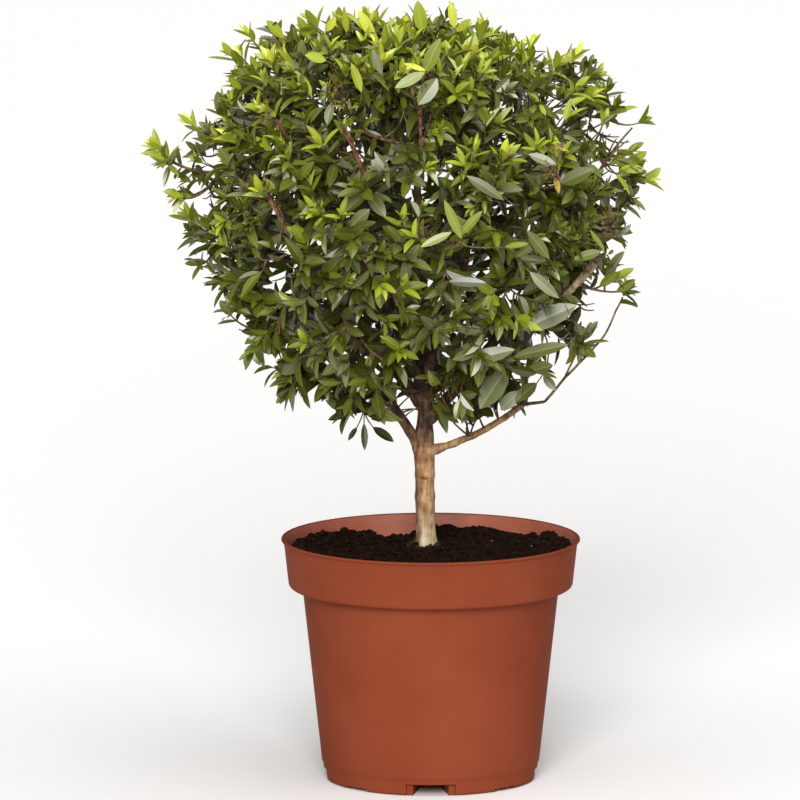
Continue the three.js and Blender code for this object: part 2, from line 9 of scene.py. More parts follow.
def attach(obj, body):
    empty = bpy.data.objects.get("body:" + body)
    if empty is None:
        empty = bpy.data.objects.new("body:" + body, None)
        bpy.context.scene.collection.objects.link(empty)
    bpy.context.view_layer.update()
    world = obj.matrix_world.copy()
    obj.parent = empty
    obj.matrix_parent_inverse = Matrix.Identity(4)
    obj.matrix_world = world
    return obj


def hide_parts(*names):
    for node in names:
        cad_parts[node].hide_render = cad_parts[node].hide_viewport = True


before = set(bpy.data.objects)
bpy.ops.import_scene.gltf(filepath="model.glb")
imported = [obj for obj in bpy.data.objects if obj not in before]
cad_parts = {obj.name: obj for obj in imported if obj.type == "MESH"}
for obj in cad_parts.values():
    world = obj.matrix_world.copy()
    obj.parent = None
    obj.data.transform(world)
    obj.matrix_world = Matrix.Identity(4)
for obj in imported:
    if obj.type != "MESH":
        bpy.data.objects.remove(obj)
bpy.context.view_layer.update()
mm = 0.001


# Small tools

def linear(hexColour):
    values = [int(hexColour[i:i + 2], 16) / 255 for i in (1, 3, 5)]
    return [v / 12.92 if v <= 0.04045 else ((v + 0.055) / 1.055) ** 2.4 for v in values] + [1.0]


# Sets a node's inputs. A value that is a node stands for its first output.
def setInputs(tree, node, inputs):
    for key, value in inputs.items():
        if isinstance(value, bpy.types.Node):
            value = value.outputs[0]
        if isinstance(value, bpy.types.NodeSocket):
            tree.links.new(value, node.inputs[key])
        else:
            node.inputs[key].default_value = value


def addNode(tree, kind, inputs, stops=(), **settings):
    node = tree.nodes.new("ShaderNode" + kind)
    for key, value in settings.items():
        setattr(node, key, value)
    setInputs(tree, node, inputs)
    for i, (position, colour) in enumerate(stops):
        mark = node.color_ramp.elements[i] if i < 2 else node.color_ramp.elements.new(position)
        mark.position = position
        mark.color = linear(colour)
    return node


def newMaterial(name, colour, roughness, ior=1.45, gloss=0.5):
    material = bpy.data.materials.new(name)
    material.use_nodes = True
    tree = material.node_tree
    surface = tree.nodes["Principled BSDF"]
    setInputs(tree, surface, {
        "Base Color": linear(colour), "Roughness": roughness, "IOR": ior, "Specular IOR Level": gloss})
    return material, tree, surface


# The scale of a noise pattern, from the size of its marks.
def scaleFor(sizeMm):
    return 1 / (sizeMm * mm)


def addPiece(name, points, faces, material, nodes, smooth=True):
    mesh = bpy.data.meshes.new(name)
    mesh.from_pydata((np.asarray(points, dtype=float) * mm).tolist(), [], faces)
    mesh.materials.append(material)
    mesh.validate()
    if smooth:
        mesh.shade_smooth()
    piece = bpy.data.objects.new(name, mesh)
    bpy.context.scene.collection.objects.link(piece)
    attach(piece, "root")
    if nodes:
        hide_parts(*nodes)
    return piece


def unit(v):
    v = np.asarray(v, dtype=float)
    return v / max(np.linalg.norm(v), 1e-9)


def turnAbout(v, axis, degrees):
    angle = math.radians(degrees)
    kept = axis * np.dot(axis, v) * (1 - math.cos(angle))
    return v * math.cos(angle) + np.cross(axis, v) * math.sin(angle) + kept


def onCircle(radius, angle):
    return radius * math.cos(angle), radius * math.sin(angle)


# The same generator as the part's source: exact for the same seed.
class Seeded:
    def __init__(self, seed):
        self.state = seed

    def __call__(self):
        self.state = (self.state * 16807) % 2147483647
        return self.state / 2147483647

    def between(self, low, high):
        return low + (high - low) * self()

    def astray(self):
        return np.array([self() - 0.5, self() - 0.5, self() - 0.5])


def smoothstep(x, low, high):
    t = min(max((x - low) / (high - low), 0), 1)
    return t * t * (3 - 2 * t)


# Camera: a long lens 5.5 m away that looks down about nine degrees, as in the photograph.
camera = {"target": (-15.4, 0, 191.8), "distance": 5500, "elevation": 9.05, "lens": 494.2, "sensor": 36}


def makeCamera():
    data = bpy.data.cameras.new("studioCamera")
    data.sensor_width = camera["sensor"]
    data.lens = camera["lens"]
    data.clip_end = 100
    view = bpy.data.objects.new("studioCamera", data)
    bpy.context.scene.collection.objects.link(view)
    tilt = math.radians(camera["elevation"])
    back = Vector((0, -math.cos(tilt), math.sin(tilt)))
    view.location = (Vector(camera["target"]) + camera["distance"] * back) * mm
    view.rotation_euler = (-back).to_track_quat("-Z", "Y").to_euler()
    bpy.context.scene.camera = view


makeCamera()

# Studio: a pale floor that runs far back, and broad soft lights from far off, so that the
# floor stays evenly white. The strongest stands in front.
studio = {
    "floorSize": 60, "floorColour": "#f6f5f3", "air": "#ffffff", "airStrength": 0.13,
    "lights": [
        {"name": "softFront", "bearing": -94, "elevation": 24, "softness": 26, "power": 3.2},
        {"name": "softTop", "bearing": -75, "elevation": 74, "softness": 60, "power": 1.75},
        {"name": "softBack", "bearing": 60, "elevation": 40, "softness": 50, "power": 0.2},
    ],
}


def makeStudio():
    half = studio["floorSize"] / 2
    corners = [(-half, -half, 0), (half, -half, 0), (half, half, 0), (-half, half, 0)]
    mesh = bpy.data.meshes.new("paleFloor")
    mesh.from_pydata(corners, [], [(0, 1, 2, 3)])
    mesh.materials.append(newMaterial("paleBackdropPaper", studio["floorColour"], 0.9)[0])
    floor = bpy.data.objects.new("paleFloor", mesh)
    bpy.context.scene.collection.objects.link(floor)
    world = bpy.context.scene.world or bpy.data.worlds.new("studioAir")
    bpy.context.scene.world = world
    world.use_nodes = True
    air = world.node_tree.nodes["Background"]
    setInputs(world.node_tree, air, {"Color": linear(studio["air"]), "Strength": studio["airStrength"]})
    for lamp in studio["lights"]:
        light = bpy.data.lights.new(lamp["name"], "SUN")
        light.angle = math.radians(lamp["softness"])
        light.energy = lamp["power"]
        holder = bpy.data.objects.new(lamp["name"], light)
        bpy.context.scene.collection.objects.link(holder)
        rise = math.radians(lamp["elevation"])
        towards = Vector((*onCircle(math.cos(rise), math.radians(lamp["bearing"])), math.sin(rise)))
        holder.location = 3 * towards
        holder.rotation_euler = towards.to_track_quat("Z", "Y").to_euler()
    bpy.context.scene.view_settings.view_transform = "Standard"


makeStudio()
print("camera and studio are ready")

# Pot: a 150 mm injection-moulded nursery pot. Sizes as in the part's source or within a millimetre
# of them, in finer steps. Openings repeat four times round it.
pot = {
    "height": 122, "rimRadius": 75, "lip": 0.7, "bandTop": 73.8, "bandFoot": 71.4, "bandHeight": 24.6,
    "bandRound": 2.1, "shoulder": 64.4, "shoulderRound": 1.2, "foot": 53.7, "footRound": 1.9, "ledge": 0.5,
    "ledgeHeight": 9.2, "wall": 1.3, "floor": 2.8, "edgeRound": 0.25, "sides": 240,
    "skin": 1.5, "skinSpread": 1.3, "skinInset": 1.6, "holeOut": 38, "holeRadius": 3.5,
    "channel": {"halfAngle": 10, "inner": 20, "height": 5.4, "bearing": -90},
    "notch": {"halfAngle": 13.4, "inner": 51.8, "height": 6, "bearing": -90},
    "slot": {"halfAngle": 7.8, "inner": 46, "height": 1.6, "bearing": -45},
    "colour": "#7b3924", "paleColour": "#85422c", "gloss": 0.012,
    # The inside's paler colours are partly dust, partly painted sheen of the light on the inner wall.
    "innerColour": "#9b4f3b", "innerPale": "#b5735c", "innerGloss": 0.3,
    "cloudMm": 45.45, "scuffMm": 14.29, "grainMm": 0.5, "grainDepth": 0.02,
}


def pottedRadius(height):
    return pot["foot"] + (pot["shoulder"] - pot["foot"]) * height / (pot["height"] - pot["bandHeight"])


# A run of points round a corner, from one angle to another.
def rounded(radius, height, bend, first, last, steps=6):
    turns = [onCircle(bend, math.radians(first + (last - first) * i / steps)) for i in range(steps + 1)]
    return [(radius + x, height + y) for x, y in turns]


# The pot's outline from the middle of its underside, up the outside and down the inside.
def potProfile():
    top, wall, lip, ledge = pot["height"], pot["wall"], pot["lip"], pot["ledgeHeight"]
    shelf = top - pot["bandHeight"]
    bend, corner, bandBend = pot["footRound"], pot["shoulderRound"], pot["bandRound"]
    outside = [(0.01, 0), (20, 0), (46, 0)]
    outside += rounded(pottedRadius(bend) - pot["ledge"] - bend, bend, bend, -90, 0)
    outside += [(pottedRadius(h) - pot["ledge"], h) for h in (5, ledge - 0.9)]
    outside += [(pottedRadius(h), h) for h in (ledge, ledge + 0.3, 30, 50, 70, shelf - 4)]
    outside += rounded(pot["shoulder"] + corner, shelf - corner, corner, 180, 90, 4)
    outside += rounded(pot["bandFoot"] - bandBend, shelf + bandBend, bandBend, -90, -4)
    outside += [(pot["bandTop"] - 0.1, top - 2 * lip - 0.5), (pot["bandTop"], top - 2 * lip)]
    outside += rounded(pot["rimRadius"] - lip, top - lip, lip, -60, 100, 9)
    inner = pot["bandTop"] - wall
    inside = [(inner + 0.6, top - 0.3), (inner, top - 1.2), (inner - 0.4, top - 6)]
    inside += [(pot["bandFoot"] - wall, shelf + 4), (pot["bandFoot"] - 2 * wall, shelf + wall)]
    inside += [(pot["shoulder"] - wall, shelf - 0.4)]
    inside += [(pottedRadius(h) - wall, h) for h in (80, 50, 20, pot["floor"] + 1.5)]
    inside += [(pottedRadius(0) - 3, pot["floor"]), (20, pot["floor"]), (0.01, pot["floor"])]
    return outside + inside


def lathe(profile, sides):
    angles = np.linspace(0, 2 * math.pi, sides, endpoint=False)
    points = [(*onCircle(r, a), z) for r, z in profile for a in angles]
    faces = []
    for ring in range(len(profile) - 1):
        low, high = ring * sides, (ring + 1) * sides
        for i in range(sides):
            j = (i + 1) % sides
            faces.append((low + i, low + j, high + j, high + i))
    faces.append(tuple(range(sides))[::-1])
    faces.append(tuple(range((len(profile) - 1) * sides, len(profile) * sides)))
    return points, faces


def wedge(bearing, halfAngle, inner, outer, low, high):
    angles = [math.radians(bearing + halfAngle * t) for t in (-1, -0.5, 0, 0.5, 1)]
    ring = [onCircle(outer, a) for a in angles] + [onCircle(inner, a) for a in reversed(angles)]
    count = len(ring)
    points = [(x, y, z) for z in (low, high) for x, y in ring]
    faces = [tuple(range(count))[::-1], tuple(range(count, 2 * count))]
    faces += [(i, (i + 1) % count, count + (i + 1) % count, count + i) for i in range(count)]
    return points, faces


def meshOnly(name, points, faces):
    mesh = bpy.data.meshes.new(name)
    mesh.from_pydata((np.array(points) * mm).tolist(), [], faces)
    helper = bpy.data.objects.new(name, mesh)
    bpy.context.scene.collection.objects.link(helper)
    return helper


def cut(target, cutters, operation="DIFFERENCE"):
    for cutter in cutters:
        step = target.modifiers.new("cut", "BOOLEAN")
        step.operation = operation
        step.solver = "EXACT"
        step.object = cutter
    graph = bpy.context.evaluated_depsgraph_get()
    mesh = bpy.data.meshes.new_from_object(target.evaluated_get(graph))
    target.modifiers.clear()
    target.data = mesh
    for cutter in cutters:
        bpy.data.objects.remove(cutter)


# Polypropylene, injection moulded: a smooth satin skin with a faint grain and dusty scuffs. Its
# inside, over the peat, is paler: partly a film of dust, partly painted sheen of the light on it.
def mouldedPlastic(name, colour, pale, gloss):
    material, tree, surface = newMaterial(name, colour, 0.5, 1.49, gloss)
    place = addNode(tree, "TexCoord", {}).outputs["Object"]
    cloud = addNode(tree, "TexNoise", {
        "Vector": place, "Scale": scaleFor(pot["cloudMm"]), "Detail": 4, "Roughness": 0.55})
    tone = addNode(tree, "ValToRGB", {"Fac": cloud}, [(0.3, colour), (0.75, pale)])
    scuff = addNode(tree, "TexNoise", {
        "Vector": place, "Scale": scaleFor(pot["scuffMm"]), "Detail": 6, "Roughness": 0.7})
    rough = addNode(tree, "MapRange", {"Value": scuff, "To Min": 0.45, "To Max": 0.6})
    grain = addNode(tree, "TexNoise", {"Vector": place, "Scale": scaleFor(pot["grainMm"]), "Detail": 2})
    bump = addNode(tree, "Bump", {"Height": grain, "Distance": pot["grainDepth"] * mm, "Strength": 0.35})
    setInputs(tree, surface, {"Base Color": tone, "Roughness": rough, "Normal": bump})
    return material


# Wedges round the pot for one kind of opening, or for the skin that covers it inside.
def wedgesOf(kind, skin=0):
    opening = pot[kind]
    half, inner = opening["halfAngle"] + pot["skinSpread"] * skin, opening["inner"] - skin
    outer = pottedRadius(0) - pot["skinInset"] if skin else pot["rimRadius"]
    low, high = 1 if skin else -1, opening["height"] + skin
    bearings = [opening["bearing"] + 90 * i for i in range(4)]
    return [meshOnly(kind, *wedge(bearing, half, inner, outer, low, high)) for bearing in bearings]


def drainHoles():
    holes = []
    for i in range(4):
        middle = onCircle(pot["holeOut"], math.radians(pot["channel"]["bearing"] + 90 * i))
        points, faces = lathe([(pot["holeRadius"], 3), (pot["holeRadius"], 12)], 24)
        holes.append(meshOnly("hole", np.array(points) + [*middle, 0], faces))
    return holes


def makePot():
    points, faces = lathe(potProfile(), pot["sides"])
    outside = mouldedPlastic("mouldedTerracottaPlastic", pot["colour"], pot["paleColour"], pot["gloss"])
    inside = mouldedPlastic("dustAndSheenInnerPlastic", pot["innerColour"], pot["innerPale"], pot["innerGloss"])
    piece = addPiece("mouldedPot", points, faces, outside, ["pot"], smooth=False)
    cut(piece, wedgesOf("channel", pot["skin"]) + wedgesOf("notch", pot["skin"]), "UNION")
    cut(piece, wedgesOf("channel") + wedgesOf("notch") + wedgesOf("slot") + drainHoles())
    bevel = piece.modifiers.new("softEdges", "BEVEL")
    bevel.width = pot["edgeRound"] * mm
    bevel.segments = 2
    bevel.limit_method = "ANGLE"
    bevel.angle_limit = math.radians(50)
    cut(piece, [])
    piece.data.materials.clear()
    for material in (outside, inside):
        piece.data.materials.append(material)
    for face in piece.data.polygons:
        inward = face.normal.x * face.center.x + face.normal.y * face.center.y < 0
        overFloor = 12 * mm < face.center.z < (pot["height"] - 0.6) * mm
        face.material_index = int(inward and overFloor)
    piece.data.shade_smooth()
    piece.data.set_sharp_from_angle(angle=math.radians(38))


makePot()
print("pot is ready")

# Peat: a lumpy surface just under the rim, with crumbs and a few pale specks on it. It is heaped
# up round the stem, where moss grows, and lies higher in places against the wall.
soil = {
    "level": 113.5, "heap": 5.8, "heapRadius": 12, "reach": 71.2, "rings": 90, "turns": 260,
    "lumps": ((9, 2.6, 0.3), (2.6, 1.7, 4.1), (1.1, 0.5, 8.7)),  # size, height and layer of noise
    "wallBearings": (-180, -150, -90, -30, 0, 21, 30, 41, 48, 56, 69, 86, 105, 113, 128, 141, 152, 180),
    "wallHeights": (3.6, 2.5, 1, 2.5, 4, 3, 4.4, 1, 0.5, 2.5, 2.2, 1.2, -3, -1.4, 1.2, 4.2, 3.2, 3.6),
    "skirt": 0.97, "bottom": 100, "grainMm": 2.222, "grainDepth": 0.6,
    "dark": "#100704", "mid": "#24130b", "crumb": "#2f1c12", "crumbs": 2600, "crumbSizes": (0.7, 2.4),
    "grit": "#6a5a4a", "specks": 40, "speckSizes": (0.35, 0.9),
    "moss": "#211c12", "mossPale": "#47412c", "tufts": 620, "tuftSizes": (0.5, 1.2), "mossRing": (4.5, 9.5),
}
stemFoot = np.array([-2.6, 3.0])


def soilHeight(x, y):
    out = math.hypot(x - stemFoot[0], y - stemFoot[1]) / soil["heapRadius"]
    nearWall = smoothstep(math.hypot(x, y) / soil["reach"], 0.5, 0.95)
    atWall = np.interp(math.degrees(math.atan2(y, x)), soil["wallBearings"], soil["wallHeights"])
    height = soil["level"] + soil["heap"] * math.exp(-out * out) + nearWall * atWall
    for size, lump, layer in soil["lumps"]:
        height += lump * noise.noise(Vector((x / size, y / size, layer)))
    return height


# Decayed moss peat: matt, nearly black when moist, with browner crumbs.
def peatMaterial(name, colour, pale):
    material, tree, surface = newMaterial(name, colour, 0.95, gloss=0.1)
    place = addNode(tree, "TexCoord", {}).outputs["Object"]
    cloud = addNode(tree, "TexNoise", {
        "Vector": place, "Scale": scaleFor(soil["grainMm"]), "Detail": 5, "Roughness": 0.7})
    tone = addNode(tree, "ValToRGB", {"Fac": cloud}, [(0.38, colour), (0.72, pale)])
    bump = addNode(tree, "Bump", {"Height": cloud, "Distance": soil["grainDepth"] * mm, "Strength": 0.9})
    setInputs(tree, surface, {"Base Color": tone, "Normal": bump})
    return material


# A crumb before it is squashed and turned: the twelve corners and twenty faces of an icosahedron.
def crumbShape():
    golden = (1 + 5 ** 0.5) / 2
    corners = []
    for a in (-1, 1):
        for b in (-golden, golden):
            corners += [(0, a, b), (a, b, 0), (b, 0, a)]
    corners = np.array(corners, dtype=float)
    faces = []
    for i, j, k in itertools.combinations(range(12), 3):
        longest = max(np.linalg.norm(corners[p] - corners[q]) for p, q in ((i, j), (j, k), (k, i)))
        if longest < 2.1:
            normal = np.cross(corners[j] - corners[i], corners[k] - corners[i])
            faces.append((i, j, k) if np.dot(normal, corners[i]) > 0 else (i, k, j))
    return corners / np.linalg.norm(corners[0]), faces


# Crumbs strewn over a disc: its middle, its inner and outer reach, and how large they are.
def scatterCrumbs(name, count, middle, reach, sizes, material, random):
    shape, shapeFaces = crumbShape()
    points = []
    faces = []
    for _ in range(count):
        out = math.sqrt(reach[0] ** 2 + (reach[1] ** 2 - reach[0] ** 2) * random())
        x, y = np.add(middle, onCircle(out, random.between(0, 2 * math.pi)))
        size = random.between(*sizes) * random.between(0.6, 1)
        stretch = np.array([random.between(0.7, 1.3), random.between(0.7, 1.3), random.between(0.5, 0.9)])
        wobble = np.array([[random.between(0.75, 1.25)] for _ in range(len(shape))])
        c, s = onCircle(1, random.between(0, 2 * math.pi))
        turned = shape * wobble * stretch * size @ np.array([[c, s, 0], [-s, c, 0], [0, 0, 1]])
        base = len(points)
        points += (turned + [x, y, soilHeight(x, y) + 0.25 * size]).tolist()
        faces += [tuple(base + i for i in face) for face in shapeFaces]
    addPiece(name, points, faces, material, [], smooth=False)


def makeSoil():
    rings, turns, reach = soil["rings"], soil["turns"], soil["reach"]
    bearings = [2 * math.pi * turn / turns for turn in range(turns)]
    points = [(*stemFoot, soilHeight(*stemFoot))]
    for ring in range(1, rings + 1):
        for x, y in [onCircle(reach * ring / rings, bearing) for bearing in bearings]:
            points.append((x, y, soilHeight(x, y)))
    points += [(*onCircle(reach * soil["skirt"], bearing), soil["bottom"]) for bearing in bearings]
    faces = [(0, 1 + t, 1 + (t + 1) % turns) for t in range(turns)]
    for ring in range(rings):
        low, high = 1 + ring * turns, 1 + (ring + 1) * turns
        for t in range(turns):
            faces.append((low + t, high + t, high + (t + 1) % turns, low + (t + 1) % turns))
    peat = peatMaterial("moistPeat", soil["dark"], soil["mid"])
    addPiece("peatSurface", points, faces, peat, ["soil"])
    random = Seeded(90210)
    wide = (0, reach - 2.5)
    crumb = peatMaterial("peatCrumb", soil["dark"], soil["crumb"])
    grit = newMaterial("paleGrit", soil["grit"], 0.9)[0]
    moss = peatMaterial("mossyPeat", soil["moss"], soil["mossPale"])
    scatterCrumbs("peatCrumbs", soil["crumbs"], (0, 0), wide, soil["crumbSizes"], crumb, random)
    scatterCrumbs("paleGrit", soil["specks"], (0, 0), wide, soil["speckSizes"], grit, random)
    scatterCrumbs("mossTufts", soil["tufts"], stemFoot, soil["mossRing"], soil["tuftSizes"], moss, random)


makeSoil()
print("soil is ready")

# Stem and boughs, from the same sizes as the part's source, but for a slimmer low right bough.
trunk = {
    "foot": (-2.6, 3, 117.8), "waist": (-2.6, 3, 140), "fork": (-3.2, 3, 168),
    "flareRadius": 6, "waistRadius": 4.7, "forkRadius": 5.5,
}
# Each bough leaves the stem or, above the fork, the leader at a height, bends at its elbow and ends
# at its tip. The mass of foliage at its end grows about a heart.
boughKeys = ("name", "height", "elbow", "tip", "radii", "mass", "heart")
boughRows = [
    ("leader", 168, (-2, 3, 220), (-6, 4, 280), (4.5, 2.6), "top", (-7, 4, 338)),
    ("left", 162, (-12.5, 1, 182.5), (-32, -5, 206), (3.1, 2.1), "low_left", (-52, -14, 226)),
    ("low_right", 165.5, (23, 0, 171), (46, -8, 191), (2.2, 1.5), "low_right", (46, -16, 216)),
    ("right", 181, (28, 9, 210), (60, 4, 262), (3.3, 2.4), "right", (64, 0, 292)),
    ("high_left", 189, (-32, 2, 222), (-60, -4, 273), (3.1, 2.2), "left", (-82, -2, 294)),
    ("front_left", 198, (-17, -18, 226), (-28, -41, 269), (2.7, 2), "front_left", (-42, -62, 300)),
    ("front_right", 206, (8, -18, 230), (17, -40, 268), (2.7, 2), "front_right", (26, -64, 298)),
    ("back_left", 193, (-14, 23, 224), (-27, 41, 264), (2.8, 2), "back_left", (-44, 66, 292)),
    ("back_right", 202, (8, 23, 228), (15, 42, 264), (2.8, 2), "back_right", (26, 68, 292)),
]
boughs = [dict(zip(boughKeys, row)) for row in boughRows]
boughNamed = {bough["name"]: bough for bough in boughs}
massNames = ["foliage_" + bough["mass"] for bough in boughs]
hearts = np.array([bough["heart"] for bough in boughs], dtype=float)


# A quadratic Bezier curve: a place and a direction for a share of the way.
class Bend:
    def __init__(self, a, b, c):
        self.a, self.b, self.c = (np.asarray(p, dtype=float) for p in (a, b, c))

    def at(self, t):
        return (1 - t) ** 2 * self.a + 2 * t * (1 - t) * self.b + t * t * self.c

    def way(self, t):
        return unit((1 - t) * (self.b - self.a) + t * (self.c - self.b))

    def length(self):
        marks = np.array([self.at(t) for t in np.linspace(0, 1, 13)])
        return np.linalg.norm(np.diff(marks, axis=0), axis=1).sum()


trunkCurve = Bend(trunk["foot"], trunk["waist"], trunk["fork"])


def boughCurve(bough):
    parent = trunkCurve if bough["height"] <= trunk["fork"][2] else boughCurve(boughs[0])
    share = (bough["height"] - parent.a[2]) / (parent.c[2] - parent.a[2])
    return Bend(parent.at(share), bough["elbow"], bough["tip"])


# A tube round a line of points, with a relief that may change its radius all round.
def tube(line, radii, sides, relief=None):
    line = np.asarray(line, dtype=float)
    steps = len(line)
    ways = np.gradient(line, axis=0)
    ways /= np.linalg.norm(ways, axis=1)[:, None]
    side = np.cross(ways[0], (0, 1, 0))
    if np.linalg.norm(side) < 0.1:
        side = np.cross(ways[0], (1, 0, 0))
    points = []
    for i in range(steps):
        side = unit(side - ways[i] * np.dot(side, ways[i]))
        up = np.cross(ways[i], side)
        for j in range(sides):
            across = 2 * math.pi * j / sides
            out = math.cos(across) * side + math.sin(across) * up
            radius = radii[i] + (relief(line[i], out) if relief else 0)
            points.append(line[i] + radius * out)
    faces = []
    for i in range(steps - 1):
        for j in range(sides):
            k = (j + 1) % sides
            faces.append((i * sides + j, i * sides + k, (i + 1) * sides + k, (i + 1) * sides + j))
    faces.append(tuple(range(sides))[::-1])
    faces.append(tuple(range((steps - 1) * sides, steps * sides)))
    return points, faces


def joined(parts):
    points = []
    faces = []
    for morePoints, moreFaces in parts:
        base = len(points)
        points += list(morePoints)
        faces += [tuple(base + i for i in face) for face in moreFaces]
    return points, faces


# Thin bark: long shallow fissures, flaking plates, rings at old nodes and a scar on the front. A
# zone blends in another tone along an axis, between two places and up to a share.
bark = {
    "fissureMm": 1.7, "fissureDepth": 0.32, "plateMm": 5.5, "plateDepth": 0.3, "patchMm": 5.263,
    "limbStreakMm": 2.2, "twigStreakMm": 1.2, "cutStreakMm": 1.1, "streakDepth": 0.35,
    "nodes": [(142.5, 0.5, 2.2), (153.5, 0.35, 2.0), (129, 0.3, 3.0)],  # place, height and width
    # The scar's dark colour is painted shade in its slit.
    "scar": (-3.4, -1.8, 152), "scarWidth": 2.3, "scarDepth": 0.75, "scarShadeColour": "#5a3a25",
    "foot": ("#9b7f5e", "#c3ab86", "#dccbac"), "tan": ("#7c563a", "#a98259", "#c7a679"),
    "brown": ("#4d3427", "#80604a", "#a48566"), "red": ("#482c21", "#714938", "#98705a"),
    "grey": ("#4a3d30", "#7d6a54", "#a8967a"), "dark": ("#261a12", "#443124", "#665039"),
    "twig": ("#33271b", "#5c482f", "#87714c"),
    # Towards the fork the stem turns browner and above it dark: painted shade under the crown. Its left side
    # turns redder: painted shade on the side away from the light.
    "stemZones": [
        ("Z", 122, 138, 1, "tan"), ("Z", 159, 172, 0.7, "brown"), ("X", -4, -6.5, 0.7, "red"),
        ("Z", 168, 178, 1, "dark"),
    ],
    # The low bough turns browner towards the fork and upwards: painted shade under the crown.
    "lowZones": [("X", 15, 5, 0.55, "brown"), ("Z", 168, 186, 0.75, "brown")],
}
# Where a bough leaves its parent it swells to a collar, the leader a little above its start.
collars = {
    "height": 0.9, "width": 3.5, "leaderRadius": 3.9, "leaderHeight": 0.95, "leaderWidth": 6, "leaderUp": 5,
}


# The stem flares at its foot, swells to the fork and closes over just above it.
def trunkRadius(t):
    flare = math.exp(-max(t, 0) * 9)
    swell = smoothstep(t, 0.72, 1) - 2.2 * smoothstep(t, 0.96, 1.07)
    return (trunk["waistRadius"] + (trunk["flareRadius"] - trunk["waistRadius"]) * flare
            + (trunk["forkRadius"] - trunk["waistRadius"]) * swell)


# Fissures and plates, drawn out along the limb. The noise is read 5 mm out from its middle.
def barkRelief(point, out):
    x, y, z = point + 5 * out
    fissureMm, plateMm = bark["fissureMm"], bark["plateMm"]
    fissure = noise.noise(Vector((x / fissureMm, y / fissureMm, z / (5 * fissureMm))))
    plate = noise.noise(Vector((x / plateMm, y / plateMm, z / (1.6 * plateMm) + 7)))
    return bark["fissureDepth"] * fissure + bark["plateDepth"] * plate


def trunkRelief(point, out):
    flare = math.exp(-(point[2] - trunk["foot"][2]) / 5)
    buttress = 0.5 * flare * math.cos(3 * math.atan2(out[1], out[0]))
    nodes = sum(height * math.exp(-((point[2] - z) / width) ** 2) for z, height, width in bark["nodes"])
    scar = 0
    if out[1] < 0:
        across = (point[0] + 5 * out[0] - bark["scar"][0]) / bark["scarWidth"]
        up = point[2] - bark["scar"][2]
        lips = 0.8 * math.exp(-((up - 1.3) / 0.8) ** 2) - math.exp(-(up / 0.55) ** 2)
        scar = bark["scarDepth"] * lips * math.exp(-across * across)
        arch = math.hypot(across, (up + 5) / 2.4) - 1
        scar -= 0.3 * math.exp(-(arch / 0.25) ** 2) * (up > -6)
    return buttress + nodes + barkRelief(point, out) + scar


# Thin dry bark: matt and streaked lengthwise.
def barkMaterial(name, tones, streakMm, zones=(), scar=False):
    material, tree, surface = newMaterial(name, bark[tones][1], 0.82, gloss=0.25)
    stops = (0.38, 0.5, 0.62)
    place = addNode(tree, "TexCoord", {}).outputs["Object"]
    long = addNode(tree, "Mapping", {"Vector": place, "Scale": (1, 1, 0.3)})
    streak = addNode(tree, "TexNoise", {
        "Vector": long, "Scale": scaleFor(streakMm), "Detail": 5, "Roughness": 0.62})
    patch = addNode(tree, "TexNoise", {"Vector": place, "Scale": scaleFor(bark["patchMm"]), "Detail": 2})
    blend = addNode(tree, "Mix", {0: 0.4, 2: streak, 3: patch})
    tone = addNode(tree, "ValToRGB", {"Fac": blend}, list(zip(stops, bark[tones])))
    axes = addNode(tree, "SeparateXYZ", {"Vector": place})
    # Most zones are painted shade: under the crown or on the side away from the light.
    for axis, low, high, share, others in zones:
        amount = addNode(tree, "MapRange", {
            "Value": axes.outputs[axis], "From Min": low * mm, "From Max": high * mm, "To Max": share})
        other = addNode(tree, "ValToRGB", {"Fac": blend}, list(zip(stops, bark[others])))
        tone = addNode(tree, "Mix", {0: amount, 6: tone, 7: other}, data_type="RGBA").outputs[2]
    # The scar's slit is darkened with painted shade.
    if scar:
        middle = np.array(bark["scar"]) * mm
        spot = addNode(tree, "VectorMath", {0: place, 1: middle}, operation="SUBTRACT")
        flat = addNode(tree, "Mapping", {"Vector": spot, "Scale": (0.36, 0.3, 1.15)})
        away = addNode(tree, "VectorMath", {0: flat}, operation="LENGTH").outputs["Value"]
        mark = addNode(tree, "MapRange", {
            "Value": away, "From Min": 0.5 * mm, "From Max": 1.1 * mm, "To Min": 0.75, "To Max": 0})
        scarred = {0: mark, 6: tone, 7: linear(bark["scarShadeColour"])}
        tone = addNode(tree, "Mix", scarred, data_type="RGBA").outputs[2]
    bump = addNode(tree, "Bump", {"Height": streak, "Distance": bark["streakDepth"] * mm, "Strength": 0.8})
    setInputs(tree, surface, {"Base Color": tone, "Normal": bump})
    return material


def boughRadii(bough, curve, shares):
    onTrunk = bough["height"] <= trunk["fork"][2]
    out = (trunk["forkRadius"] if onTrunk else collars["leaderRadius"]) + 0.5
    height, width = collars["height"], collars["width"]
    if bough is boughs[0]:
        out, height, width = collars["leaderUp"], collars["leaderHeight"], collars["leaderWidth"]
    first, last = bough["radii"]
    length = curve.length()
    swell = [height * math.exp(-((t * length - out) / width) ** 2) for t in shares]
    return [first + (last - first) * math.sqrt(t) + more for t, more in zip(shares, swell)]


